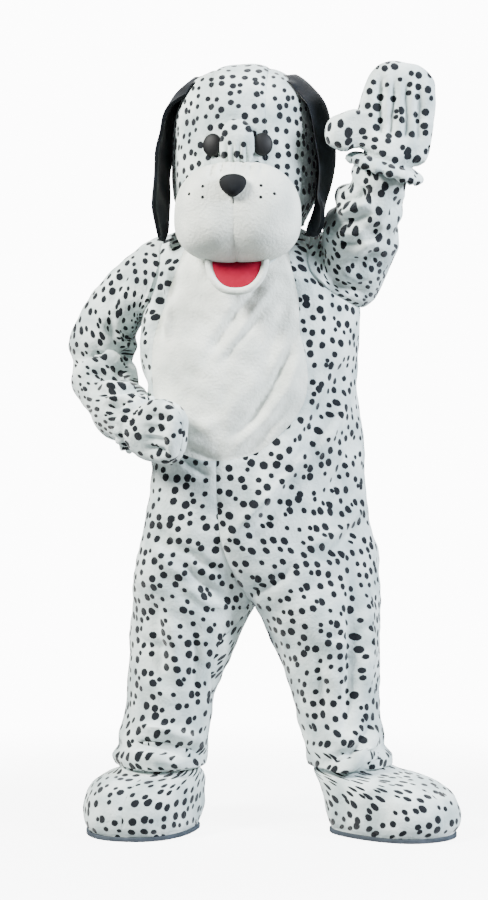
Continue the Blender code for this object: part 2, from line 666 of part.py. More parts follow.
def put(name, bm, material, smooth=True):
    """Turn a bmesh into an object of the costume with its material."""
    mesh = bpy.data.meshes.new(name)
    for face in bm.faces:
        face.material_index = 0
        face.smooth = smooth
    bm.to_mesh(mesh)
    bm.free()
    mesh.materials.append(material)
    if smooth:
        mesh.set_sharp_from_angle(angle=math.radians(50))
    thing = bpy.data.objects.new(name, mesh)
    bpy.data.collections[COLLECTION].objects.link(thing)
    return thing


def material(name, colour, roughness, metallic=0.0):
    """A material from an sRGB hex colour."""
    made = bpy.data.materials.new(name)
    made.use_nodes = True
    shader = made.node_tree.nodes["Principled BSDF"]
    parts = [int(colour[k:k + 2], 16) / 255 for k in (0, 2, 4)]
    linear = [c / 12.92 if c <= 0.04045 else ((c + 0.055) / 1.055) ** 2.4 for c in parts]
    shader.inputs["Base Color"].default_value = (*linear, 1.0)
    shader.inputs["Roughness"].default_value = roughness
    shader.inputs["Metallic"].default_value = metallic
    return made


# Cutters

def cutter(name, bm, matrix=None):
    mesh = bpy.data.meshes.new(name)
    bmesh.ops.recalc_face_normals(bm, faces=bm.faces[:])
    bm.to_mesh(mesh)
    bm.free()
    thing = bpy.data.objects.new(name, mesh)
    bpy.data.collections["cutters"].objects.link(thing)
    if matrix is not None:
        thing.matrix_world = matrix
    thing.hide_render = True
    thing.display_type = "WIRE"
    return thing


def box_cutter(name, low, high, matrix=None):
    bm = bmesh.new()
    bmesh.ops.create_cube(bm, size=1.0)
    for vert in bm.verts:
        vert.co = Vector((low[k] if vert.co[k] < 0 else high[k] for k in range(3)))
    return cutter(name, bm, matrix)


def cut(thing, tool, operation="DIFFERENCE"):
    modifier = thing.modifiers.new(tool.name, "BOOLEAN")
    modifier.operation = operation
    modifier.solver = "EXACT"
    modifier.object = tool


def outline_prism(name, points, y_front, y_back, grow=0.0):
    """A prism along Y over a smooth closed outline through points of x and z."""
    count = len(points)
    steps = 4
    ring = []
    for k in range(count):
        p0, p1, p2, p3 = (Vector(points[(k + n) % count]) for n in (-1, 0, 1, 2))
        for step in range(steps):
            t = step / steps
            ring.append(0.5 * ((2 * p1) + (p2 - p0) * t + (2 * p0 - 5 * p1 + 4 * p2 - p3) * t**2
                               + (3 * p1 - p0 - 3 * p2 + p3) * t**3))
    middle = sum(ring, Vector((0, 0))) / len(ring)
    bm = bmesh.new()
    made = bmesh.ops.create_circle(bm, cap_ends=True, segments=len(ring), radius=1.0)["verts"]
    for vert, point in zip(made, ring):
        k = ring.index(point)
        along = (ring[(k + 1) % len(ring)] - ring[k - 1]).normalized()
        way = Vector((along.y, -along.x))
        if way.dot(point - middle) < 0:
            way.negate()
        moved = point + way * grow
        vert.co = Vector((moved.x, y_front, moved.y))
    new = bmesh.ops.extrude_face_region(bm, geom=bm.faces[:])["geom"]
    for vert in new:
        if isinstance(vert, bmesh.types.BMVert):
            vert.co.y = y_back
    return cutter(name, bm)


# The belly's outline in the view from the front, x and z, down from the wearer's right
BELLY = ((-0.120, 0.000), (-0.154, -0.060), (-0.184, -0.146), (-0.211, -0.230), (-0.216, -0.310),
         (-0.206, -0.400), (-0.178, -0.475), (-0.110, -0.513), (-0.037, -0.515), (0.030, -0.498),
         (0.075, -0.464), (0.112, -0.427), (0.140, -0.381), (0.149, -0.326), (0.142, -0.265),
         (0.130, -0.213), (0.127, -0.140), (0.112, -0.070), (0.090, 0.000), (0.0, 0.030))


def pillow(rows, round_cells, place, matrix):
    """A stuffed form from a sphere whose points are moved by place(x, y, z)."""
    bm = bmesh.new()
    bmesh.ops.create_uvsphere(bm, u_segments=round_cells, v_segments=rows, radius=1.0)
    for vert in bm.verts:
        vert.co = place(*vert.co)
    bmesh.ops.triangulate(bm, faces=bm.faces[:])
    bm.transform(matrix)
    bmesh.ops.recalc_face_normals(bm, faces=bm.faces[:])
    return bm


def squared(value, power):
    return math.copysign(abs(value) ** power, value)


MUZZLE_AT = (0.0, -0.160, 0.055)
MUZZLE = (0.147, 0.118, 0.105)          # half width, half height, how far it stands out


def muzzle_place(x, y, z):
    """The muzzle: two puffed halves with a groove between them, fuller low down."""
    groove = 1 - 0.13 * math.exp(-(x / 0.16) ** 2) * max(0.0, 0.5 - 0.7 * z)
    full = 1.0 + 0.06 * -z
    return Vector((MUZZLE_AT[0] + MUZZLE[0] * squared(x, 0.78) * full,
                   MUZZLE_AT[1] + MUZZLE[2] * y * groove,
                   MUZZLE_AT[2] + MUZZLE[1] * squared(z, 0.82)))


NOSE_AT = (0.0, -0.262, 0.106)
NOSE = (0.030, 0.020, 0.026)


def nose_place(x, y, z):
    """The nose: wide above and narrow below."""
    return Vector((NOSE_AT[0] + NOSE[0] * squared(x, 0.9) * (1 + 0.32 * z - 0.12 * z * z),
                   NOSE_AT[1] + NOSE[1] * y, NOSE_AT[2] + NOSE[2] * squared(z, 0.9)))


EYE_AT = (0.058, 0.212)
EYE = (0.024, 0.027)
BRIDGE_AT = 0.216
BRIDGE = (0.040, 0.054)


def build_head(colours):
    place = head_matrix()
    solid = head_skin(0.0004)
    rim = [edge for edge in solid.edges if edge.is_boundary]
    low = bmesh.ops.extrude_edge_only(solid, edges=rim)["geom"]
    for vert in low:
        if isinstance(vert, bmesh.types.BMVert):
            vert.co.z = -0.16
    bmesh.ops.holes_fill(solid, edges=[edge for edge in solid.edges if edge.is_boundary], sides=0)
    inside = cutter("head_form", solid, place)

    half = SEAM / 2
    side_cuts = {
        "head_gore": ((-GORE_HALF + half, -0.4, -0.3), (GORE_HALF - half, 0.4, 0.6)),
        "head_side_right": ((-0.4, -0.4, -0.3), (-GORE_HALF - half, 0.4, 0.6)),
        "head_side_left": ((GORE_HALF + half, -0.4, -0.3), (0.4, 0.4, 0.6)),
    }
    for name, (low, high) in side_cuts.items():
        shell = wall(head_skin(), (0,), HEAD_WALL)
        shell.transform(place)
        thing = put(name, shell, colours["spotted_plush"])
        cut(thing, box_cutter(name + "_cut", low, high, place), "INTERSECT")

    whole = cutter("muzzle_form", pillow(14, 24, muzzle_place, Matrix()), place)
    for name, low, high in (("muzzle_right", -0.3, -half), ("muzzle_left", half, 0.3)):
        thing = put(name, pillow(14, 24, muzzle_place, place), colours["white_plush"])
        cut(thing, inside)
        cut(thing, box_cutter(name + "_cut", (low, -0.5, -0.3), (high, 0.2, 0.5), place),
            "INTERSECT")

    grown = pillow(14, 24, muzzle_place, Matrix())
    for vert in grown.verts:
        vert.normal_update()
    for vert in grown.verts:
        vert.co += vert.normal * 0.0004
    grown = cutter("muzzle_grown", grown, place)
    nose = put("nose", pillow(10, 16, nose_place, place), colours["black_nose"])
    cut(nose, grown)
    cut(nose, inside)

    front = head_point(BRIDGE_AT, 0.0)

    def bridge_place(x, y, z, grow=0.0):
        return Vector(((BRIDGE[0] + grow) * squared(x, 0.8) * (1 - 0.12 * z),
                       (0.026 + grow) * y, (BRIDGE[1] + grow) * squared(z, 0.8)))

    at_bridge = place @ Matrix.Translation(front)
    clear = cutter("bridge_form", pillow(8, 16, lambda x, y, z: bridge_place(x, y, z, 0.0006),
                                         at_bridge))
    for name, side in (("eye_right", -1), ("eye_left", 1)):
        angle = math.asin(EYE_AT[0] / between(HEAD, EYE_AT[1]).half) * side
        point = head_point(EYE_AT[1], angle)
        turned = place @ Matrix.Translation(point) @ Matrix.Rotation(angle * 0.8, 4, "Z")
        eye = put(name, pillow(8, 16, lambda x, y, z: Vector((EYE[0] * x, 0.012 * y, EYE[1] * z)),
                               turned), colours["black_eye"])
        cut(eye, inside)
        cut(eye, clear)
    pad = put("snout_bridge", pillow(8, 16, bridge_place, at_bridge), colours["spotted_plush"])
    cut(pad, inside)
    cut(pad, grown)
    return inside, grown


Lobe = namedtuple("Lobe", "at x y z width twist")
# Down the middle of an ear, in the head's own frame, for the wearer's left; width is the whole
EAR = {
    1: (Lobe(0.00, 0.082, -0.004, 0.345, 0.060, 0), Lobe(0.08, 0.124, -0.006, 0.384, 0.084, 2),
        Lobe(0.18, 0.156, -0.010, 0.346, 0.108, 14), Lobe(0.32, 0.174, -0.014, 0.294, 0.124, 20),
        Lobe(0.50, 0.186, -0.024, 0.220, 0.130, 22), Lobe(0.68, 0.190, -0.040, 0.144, 0.132, 26),
        Lobe(0.84, 0.184, -0.062, 0.074, 0.122, 32), Lobe(0.94, 0.175, -0.082, 0.032, 0.090, 38),
        Lobe(1.00, 0.168, -0.088, 0.008, 0.042, 40)),
    -1: (Lobe(0.00, 0.080, -0.004, 0.345, 0.060, 0), Lobe(0.08, 0.122, -0.006, 0.386, 0.084, 2),
         Lobe(0.18, 0.158, -0.010, 0.348, 0.108, 6), Lobe(0.32, 0.178, -0.020, 0.296, 0.130, 8),
         Lobe(0.50, 0.188, -0.034, 0.224, 0.142, 6), Lobe(0.68, 0.194, -0.052, 0.148, 0.142, 6),
         Lobe(0.84, 0.194, -0.070, 0.074, 0.126, 8), Lobe(0.94, 0.191, -0.082, 0.030, 0.090, 10),
         Lobe(1.00, 0.188, -0.088, 0.002, 0.042, 10)),
}
EAR_THICK = 0.009
EAR_ACROSS, EAR_DOWN = 6, 14


def build_ear(name, side, colours, inside):
    """A flat padded ear: its width lies mostly front to back, and twist opens it to the front."""
    bm = bmesh.new()
    table = EAR[side]

    def frame(v):
        lobe = between(table, v)
        a, b = between(table, max(v - 0.03, 0)), between(table, min(v + 0.03, 1))
        way = Vector((b.x - a.x, b.y - a.y, b.z - a.z)).normalized()
        twist = math.radians(lobe.twist)
        across = Vector((math.sin(twist), -math.cos(twist), 0))
        across = (across - way * across.dot(way)).normalized()
        return lobe, way, across

    def place(u, v):
        lobe, way, across = frame(v)
        half = lobe.width / 2
        t = 2 * u - 1
        point = Vector((lobe.x, lobe.y, lobe.z)) + across * half * t
        out = across.cross(way)
        if out.x < 0:
            out.negate()
        point += out * 0.010 * (1 - t * t) * ease(v / 0.3)
        point -= Vector((0.010, 0, 0.018)) * t * t * (1 - ease(v / 0.3))
        return Vector((point.x * side, point.y, point.z))

    mapped_grid(bm, EAR_ACROSS, EAR_DOWN, place, lambda u, v: Vector((0, 0, 0.1)), 0)
    bm.transform(head_matrix())
    finish_skin(bm)
    slab = wall(bm, (0,), EAR_THICK)
    ear = put(name, slab, colours["black_velvet"])
    cut(ear, inside)


MOUTH_AT = (0.0, -0.176, -0.052)
MOUTH = (0.057, 0.070)
MOUTH_TILT = 16.0
LIP = 0.0085


def mouth_matrix():
    return (head_matrix() @ Matrix.Translation(MOUTH_AT)
            @ Matrix.Rotation(math.radians(-MOUTH_TILT), 4, "X"))


def build_mouth(colours, inside, grown):
    """A red half-oval lining with a white padded lip round its lower edge."""
    bm = bmesh.new()
    steps = 24
    made = bmesh.ops.create_circle(bm, cap_ends=True, segments=steps, radius=1.0)["verts"]
    for vert in made:
        x, z = vert.co.x, vert.co.y
        if z > 0:
            z = z * 0.25
        vert.co = Vector((MOUTH[0] * squared(x, 0.85), 0.0, MOUTH[1] * z))
    new = bmesh.ops.extrude_face_region(bm, geom=bm.faces[:])["geom"]
    for vert in new:
        if isinstance(vert, bmesh.types.BMVert):
            vert.co.y += 0.006
    bmesh.ops.recalc_face_normals(bm, faces=bm.faces[:])
    bm.transform(mouth_matrix())
    lining = put("mouth_lining", bm, colours["red_felt"])
    cut(lining, inside)
    cut(lining, grown)

    curve = bpy.data.curves.new("mouth_lip", "CURVE")
    curve.dimensions = "3D"
    curve.bevel_depth = LIP
    curve.bevel_resolution = 2
    curve.use_fill_caps = True
    points = 21
    spline = curve.splines.new("POLY")
    spline.points.add(points - 1)
    away = LIP + 0.0006
    for k in range(points):
        a = math.pi * k / (points - 1)
        x = (MOUTH[0] + away) * squared(math.cos(a), 0.85)
        z = -(MOUTH[1] + away) * math.sin(a)
        if k in (0, points - 1):
            z = 0.030
        at = mouth_matrix() @ Vector((x, 0.003, z))
        spline.points[k].co = (*at, 1.0)
    guide = bpy.data.objects.new("mouth_lip_guide", curve)
    bpy.data.collections["cutters"].objects.link(guide)
    bpy.context.view_layer.update()
    mesh = bpy.data.meshes.new_from_object(guide.evaluated_get(
        bpy.context.evaluated_depsgraph_get()))
    bpy.data.objects.remove(guide)
    lip_bm = bmesh.new()
    lip_bm.from_mesh(mesh)
    bpy.data.meshes.remove(mesh)
    bmesh.ops.remove_doubles(lip_bm, verts=lip_bm.verts[:], dist=0.00001)
    bmesh.ops.recalc_face_normals(lip_bm, faces=lip_bm.faces[:])
    lip = put("mouth_lip", lip_bm, colours["white_plush"])
    cut(lip, inside)
    cut(lip, grown)


# The zip's slider and pull, in their own frame: X across, Y out of the back, Z up
SLIDER = (0.0078, 0.0030, 0.0110)
SLIDER_LIFT = 0.0006
LUG_IN, LUG_OUT, LUG_TOP, LUG_HALF = 0.0021, 0.0031, 0.0066, 0.0016
PIN_AT, PIN_RADIUS = 0.0052, 0.0006
PULL_BORE, PULL_BARREL, PULL_THICK, PULL_LONG = 0.0009, 0.0015, 0.0012, 0.0280
PULL_NECK, PULL_HALF = 0.0018, 0.0032


def zip_matrix():
    """Where the slider sits: on the flat of the strip just under the neck."""
    low = blend(SHOULDER.back, ARMPIT.back, 1 / CELLS_ARMHOLE)
    top, bottom = (body_point(1, z, meeting_angle(z)) for z in (SHOULDER.back, low))
    down = (bottom - top).normalized()
    out = (Vector((0, 1, 0)) - down * down.y).normalized()
    side = out.cross(-down).normalized()
    place = Matrix((side, out, -down)).transposed().to_4x4()
    return Matrix.Translation((top + bottom) / 2) @ place


def block(bm, low, high, bevel=0.0):
    """Add a box from corner to corner, with its edges rounded."""
    made = bmesh.ops.create_cube(bm, size=1.0)["verts"]
    for vert in made:
        vert.co = Vector((low[k] if vert.co[k] < 0 else high[k] for k in range(3)))
    if bevel:
        edges = list({edge for vert in made for edge in vert.link_edges})
        bmesh.ops.bevel(bm, geom=edges, offset=bevel, segments=1, profile=0.5, affect="EDGES")


def rod(bm, radius, half, y, z=0.0, segments=12):
    """Add a closed cylinder along X."""
    made = bmesh.ops.create_cone(bm, cap_ends=True, segments=segments, radius1=radius,
                                 radius2=radius, depth=2 * half)["verts"]
    bmesh.ops.rotate(bm, verts=made, cent=(0, 0, 0), matrix=Matrix.Rotation(math.pi / 2, 3, "Y"))
    bmesh.ops.translate(bm, verts=made, vec=(0, y, z))


def build_zip(colours):
    """A slider with a hinged pull tab, shut at the top of the back opening."""
    place = zip_matrix()

    def tool(name, make):
        bm = bmesh.new()
        make(bm)
        return cutter(name, bm, place)

    bm = bmesh.new()
    block(bm, (-SLIDER[0] / 2, SLIDER_LIFT, -SLIDER[2] / 2),
          (SLIDER[0] / 2, SLIDER_LIFT + SLIDER[1], SLIDER[2] / 2), 0.0007)
    slider = put("zip_slider", bm, colours["dark_metal"], smooth=False)
    slider.matrix_world = place
    for name, sign in (("lug_a", -1), ("lug_b", 1)):
        x0, x1 = sorted((sign * LUG_IN, sign * LUG_OUT))
        cut(slider, tool(name, lambda m, x0=x0, x1=x1: block(
            m, (x0, 0.0025, -LUG_HALF), (x1, LUG_TOP, LUG_HALF), 0.0003)), "UNION")
    cut(slider, tool("pin", lambda m: rod(m, PIN_RADIUS, LUG_OUT - 0.0004, PIN_AT)), "UNION")

    bm = bmesh.new()
    rod(bm, PULL_BARREL, PULL_NECK, PIN_AT, segments=16)
    pull = put("zip_pull", bm, colours["dark_metal"], smooth=False)
    pull.matrix_world = place
    y0, y1 = PIN_AT - PULL_THICK / 2, PIN_AT + PULL_THICK / 2
    cut(pull, tool("tab_neck", lambda m: block(
        m, (-PULL_NECK + 0.0001, y0, -0.0060), (PULL_NECK - 0.0001, y1, -0.0005))), "UNION")
    cut(pull, tool("tab", lambda m: block(
        m, (-PULL_HALF, y0 - 0.00005, -PULL_LONG), (PULL_HALF, y1 + 0.00005, -0.0045), 0.0004)),
        "UNION")
    cut(pull, tool("bore", lambda m: rod(m, PULL_BORE, 0.01, PIN_AT)), "DIFFERENCE")


def main():
    for thing in list(bpy.data.objects):
        bpy.data.objects.remove(thing)
    for name in (COLLECTION, "cutters"):
        bpy.context.scene.collection.children.link(bpy.data.collections.new(name))
    colours = {
        "spotted_plush": material("spotted_plush", "DDE2E6", 0.9),
        "white_plush": material("white_plush", "E6E8E4", 0.9),
        "black_velvet": material("black_velvet", "1C2228", 0.85),
        "black_nose": material("black_nose", "15181C", 0.6),
        "black_eye": material("black_eye", "101214", 0.35),
        "red_felt": material("red_felt", "E22C48", 0.85),
        "dark_sole": material("dark_sole", "3F4A55", 0.7),
        "dark_metal": material("dark_metal", "5A5E62", 0.4, 1.0),
        "zip_tape": material("zip_tape", "C9CED2", 0.8),
    }
    suit = bmesh.new()
    add_suit(suit)
    add_sleeve(suit, -1, 5)
    add_sleeve(suit, 1, 6)
    finish_skin(suit)
    lifts = {vert: vert.normal * fold_height(vert.co) for vert in suit.verts
             if all(face.material_index < 5 for face in vert.link_faces)}
    for vert, lift in lifts.items():
        vert.co += lift
    finish_skin(suit)
    names = ("suit_front_right", "suit_front_left", "suit_back_right", "suit_back_left",
             "back_zip", "sleeve_right", "sleeve_left")
    hole = outline_prism("belly_hole", BELLY, -0.45, -0.02)
    plug = outline_prism("belly_plug", BELLY, -0.46, -0.015, -SEAM)
    for label, name in enumerate(names):
        panel = put(name, wall(suit, (label,), PLUSH),
                    colours["zip_tape" if name == "back_zip" else "spotted_plush"])
        if name.startswith("suit_front"):
            cut(panel, hole)
    belly = put("belly_panel", wall(suit, (0, 1), PLUSH), colours["white_plush"])
    cut(belly, plug, "INTERSECT")
    suit.free()

    for side, word in ((-1, "right"), (1, "left")):
        mitt = bmesh.new()
        add_mitt(mitt, side)
        finish_skin(mitt)
        for label, half in enumerate(("palm", "back")):
            put("mitt_%s_%s" % (word, half), wall(mitt, (label,), MITT_WALL),
                colours["spotted_plush"])
        mitt.free()
        shoe = bmesh.new()
        add_shoe(shoe, side)
        finish_skin(shoe)
        inner = 1 if side > 0 else 0
        for label in (0, 1):
            put("shoe_%s_%s" % (word, "inner" if label == inner else "outer"),
                wall(shoe, (label,), SHOE_WALL), colours["spotted_plush"])
        shoe.free()
        sole = bmesh.new()
        made = bmesh.ops.create_circle(sole, cap_ends=True, segments=36, radius=1.0)["verts"]
        for k, vert in enumerate(made):
            vert.co = shoe_place(side, SHOE[0], 2 * math.pi * k / 36, SOLE_EDGE)
            vert.co.z = FLOOR
        new = bmesh.ops.extrude_face_region(sole, geom=sole.faces[:])["geom"]
        for vert in new:
            if isinstance(vert, bmesh.types.BMVert):
                vert.co.z = FLOOR + SOLE
        bmesh.ops.recalc_face_normals(sole, faces=sole.faces[:])
        put("sole_%s" % word, sole, colours["dark_sole"])

    inside, grown = build_head(colours)
    build_ear("ear_right", -1, colours, inside)
    build_ear("ear_left", 1, colours, inside)
    build_mouth(colours, inside, grown)
    build_zip(colours)


main()
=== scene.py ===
"""Dresses the dog mascot costume: cloth with its folds and seams, plush, velvet, felt and light.

Every piece lies where its solid lies, in metres, +Z up, the front towards -Y. Left and right are
the wearer's own, so the raised arm is the left one, on +X.
"""
import json
import logging
import math
from dataclasses import dataclass, field
from enum import Enum
from functools import cached_property
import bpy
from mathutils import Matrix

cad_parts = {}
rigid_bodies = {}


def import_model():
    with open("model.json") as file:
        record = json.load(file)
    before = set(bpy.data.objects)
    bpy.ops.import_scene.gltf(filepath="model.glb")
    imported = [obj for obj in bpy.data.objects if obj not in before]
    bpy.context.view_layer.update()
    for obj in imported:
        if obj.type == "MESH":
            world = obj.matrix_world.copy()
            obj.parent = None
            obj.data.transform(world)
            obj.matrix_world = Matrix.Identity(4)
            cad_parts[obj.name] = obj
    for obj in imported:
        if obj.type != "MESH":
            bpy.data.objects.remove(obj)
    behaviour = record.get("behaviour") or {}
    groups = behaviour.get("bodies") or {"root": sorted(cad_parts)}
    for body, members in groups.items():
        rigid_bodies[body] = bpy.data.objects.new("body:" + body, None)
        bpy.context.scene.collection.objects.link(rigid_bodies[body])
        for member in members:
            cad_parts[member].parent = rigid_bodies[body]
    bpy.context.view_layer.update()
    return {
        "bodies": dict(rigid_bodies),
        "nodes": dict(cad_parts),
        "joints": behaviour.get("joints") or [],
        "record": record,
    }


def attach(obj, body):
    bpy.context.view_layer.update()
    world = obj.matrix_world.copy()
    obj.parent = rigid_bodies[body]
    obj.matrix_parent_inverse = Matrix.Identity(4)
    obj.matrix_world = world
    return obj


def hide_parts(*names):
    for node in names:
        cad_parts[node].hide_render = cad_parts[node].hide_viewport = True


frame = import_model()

from types import SimpleNamespace
from typing import Callable, NamedTuple, Sequence

import bmesh
import bpy
import numpy as np
from mathutils import Matrix, Vector
from mathutils.bvhtree import BVHTree

LOG = logging.getLogger("dog_costume")
WORN = "costume"            # the body that all the cloth belongs to
SEAM = 0.0003               # between two pieces at a seam
FLOOR = -1.388
CROTCH = -0.868
HEM = -1.236
ZIP_WIDTH = 0.008
ZIP_END = -0.60
ARM_START = 0.060
CLEAR_ARM = 0.0075
CLEAR_HAND = 0.0015
CLEAR_HEM = 0.0070


class Side(Enum):
    """The wearer's right or left, with its sign along X."""

    RIGHT = -1
    LEFT = 1

    @property
    def word(self) -> str:
        """The word that the pieces' names use."""
        return self.name.lower()


class Ring(NamedTuple):
    """The trunk or the legs at one height: outline edges, middle, depths and turn."""

    z: float
    left: float
    right: float
    mid: float
    axis: float
    front: float
    back: float
    y: float
    turn: float


class Level(NamedTuple):
    """A row's height at the centre front, the centre back and the two side seams."""

    front: float
    back: float
    right: float
    left: float


class Swing(NamedTuple):
    """Where the inside-leg seam runs round the wearer's right leg, in degrees."""

    z: float
    angle: float


class Arm(NamedTuple):
    """A point on the middle of a sleeve, with its half sizes."""

    at: float
    x: float
    y: float
    z: float
    top: float
    front: float


class Palm(NamedTuple):
    """A mitt at a distance past the wrist: half widths and half thickness."""

    d: float
    little: float
    thumb: float
    thick: float


class HeadRing(NamedTuple):
    """The head at one height."""

    z: float
    half: float
    front: float
    back: float


class Shell(NamedTuple):
    """A shoe cover at one height: half width, reaches, and how far it leans to the ankle."""

    h: float
    half: float
    toe: float
    heel: float
    lean: float


class Lobe(NamedTuple):
    """A point down the middle of an ear, with its width and twist."""

    at: float
    x: float
    y: float
    z: float
    width: float
    twist: float


class Fold(NamedTuple):
    """A ridge, or a trough with a minus, along a line of x and z in the view from the front."""

    height: float
    width: float
    back: bool
    line: tuple[tuple[float, float], ...]


class Hang(NamedTuple):
    """A fold across a sleeve: where it is highest, how far round it runs, and its slant."""

    along: float
    around: float
    height: float
    width: float
    spread: float
    slant: float


def thousandths(kind: type, *rows: tuple[int, ...]) -> tuple:
    """A table from rows of whole thousandths: of a metre, or of a run for a share of it."""
    return tuple(kind(*(value / 1000 for value in row)) for row in rows)


def folds(*faces: tuple[tuple[int, ...], ...]) -> tuple[Fold, ...]:
    """Folds from short rows.

    Args:
        faces: The rows of the front, then those of the back: the height and the width in tenths
            of a millimetre, then x and z of each point of the line in millimetres.

    Returns:
        The folds.
    """
    return tuple(Fold(high / 10000, width / 10000, back,
                      tuple((x / 1000, z / 1000) for x, z in zip(line[::2], line[1::2])))
                 for back, rows in zip((False, True), faces) for high, width, *line in rows)


CELLS_NECK, CELLS_ARMHOLE, CELLS_TRUNK, CELLS_LEG = 10, 48, 99, 70
CELLS_ROUND, CELLS_SLEEVE = 50, 96
BODY = thousandths(
    Ring,
    (52, -86, 88, 0, 0, 78, 80, 12, 0), (44, -118, 122, 0, 0, 92, 90, 12, 0),
    (30, -170, 160, 2, 0, 107, 102, 10, -4), (8, -203, 196, 4, 0, 122, 114, 8, -10),
    (-25, -224, 226, 7, 0, 138, 126, 5, -18), (-70, -234, 252, 11, 0, 154, 138, 2, -27),
    (-137, -238, 278, 16, 0, 172, 150, 0, -36), (-200, -240, 281, 19, 0, 184, 158, 0, -42),
    (-280, -238, 276, 20, 0, 196, 167, 0, -52), (-340, -226, 272, 22, 0, 201, 173, 0, -62),
    (-400, -214, 277, 26, 10, 202, 178, 0, -76), (-460, -203, 285, 31, 30, 200, 183, 0, -90),
    (-540, -196, 290, 35, 70, 196, 187, 2, -100), (-612, -204, 293, 35, 130, 192, 188, 4, -99),
    (-690, -220, 307, 33, 225, 187, 186, 6, -92), (-756, -239, 327, 31, 325, 180, 182, 8, -78),
    (-810, -254, 330, 29, 415, 172, 177, 8, -58), (-868, -265, 329, 28, 500, 163, 168, 8, -26),
    (-910, -273, 329, 27, 535, 157, 160, 6, -8), (-960, -277, 329, 26, 573, 149, 152, 2, 0),
    (-1020, -278, 327, 24, 617, 138, 143, -6, 0), (-1080, -280, 325, 24, 655, 127, 133, -14, 0),
    (-1130, -288, 328, 28, 668, 124, 128, -20, 0), (-1170, -300, 337, 32, 674, 130, 128, -26, 0),
    (-1192, -300, 338, 36, 678, 124, 122, -30, 0), (-1215, -314, 354, 36, 672, 135, 126, -34, 0),
    (-1240, -306, 352, 36, 680, 126, 118, -38, 0))
NECK = Level(0.036, 0.062, 0.050, 0.054)
SHOULDER = Level(-0.010, 0.030, 0.026, 0.034)
ARMPIT = Level(-0.190, -0.190, -0.180, -0.150)
FORK = Level(CROTCH, CROTCH, CROTCH, CROTCH)
ANKLE = Level(HEM, HEM, HEM, HEM)
ARMHOLE_TURN = (math.radians(37), math.radians(48))     # wearer's right, wearer's left
INSEAM_RIGHT = (Swing(-0.868, 180), Swing(-0.905, 150), Swing(-0.950, 132), Swing(-1.000, 134),
                Swing(-1.050, 150), Swing(-1.090, 170), Swing(-1.240, 180))
FOLDS = folds(
    ((140, 260, 262, -197, 205, -287, 159, -374, 106, -469, 40, -580, -23, -686),
     (-100, 220, 262, -262, 214, -346, 166, -430, 112, -520),
     (100, 220, 268, -330, 232, -396, 180, -478, 120, -590),
     (-100, 200, 256, -725, 259, -930, 250, -1130), (90, 180, -196, -40, -222, -140, -228, -290),
     (90, 180, 160, 10, 176, -90, 178, -220), (-70, 160, 118, -107, 88, -183, 58, -275, 26, -478),
     (80, 180, 125, -254, 104, -381, 30, -490), (-60, 160, 30, -140, -21, -206, -80, -275),
     (70, 180, -120, -455, -50, -420, 10, -340), (80, 220, -236, -760, -150, -850, -60, -900),
     (-70, 200, 80, -870, 150, -815, 240, -770), (70, 220, -250, -1030, -170, -1060, -100, -1050),
     (80, 180, 330, -1120, 250, -1180, 160, -1215)),
    ((100, 240, 230, -300, 110, -420, 30, -480), (90, 240, -190, -330, -100, -440, -10, -520),
     (-80, 220, 60, -860, 150, -790, 260, -760), (-80, 220, 0, -870, -90, -800, -200, -770),
     (80, 240, 300, -1020, 210, -1060, 130, -1040),
     (80, 240, -250, -1010, -170, -1050, -90, -1040)))
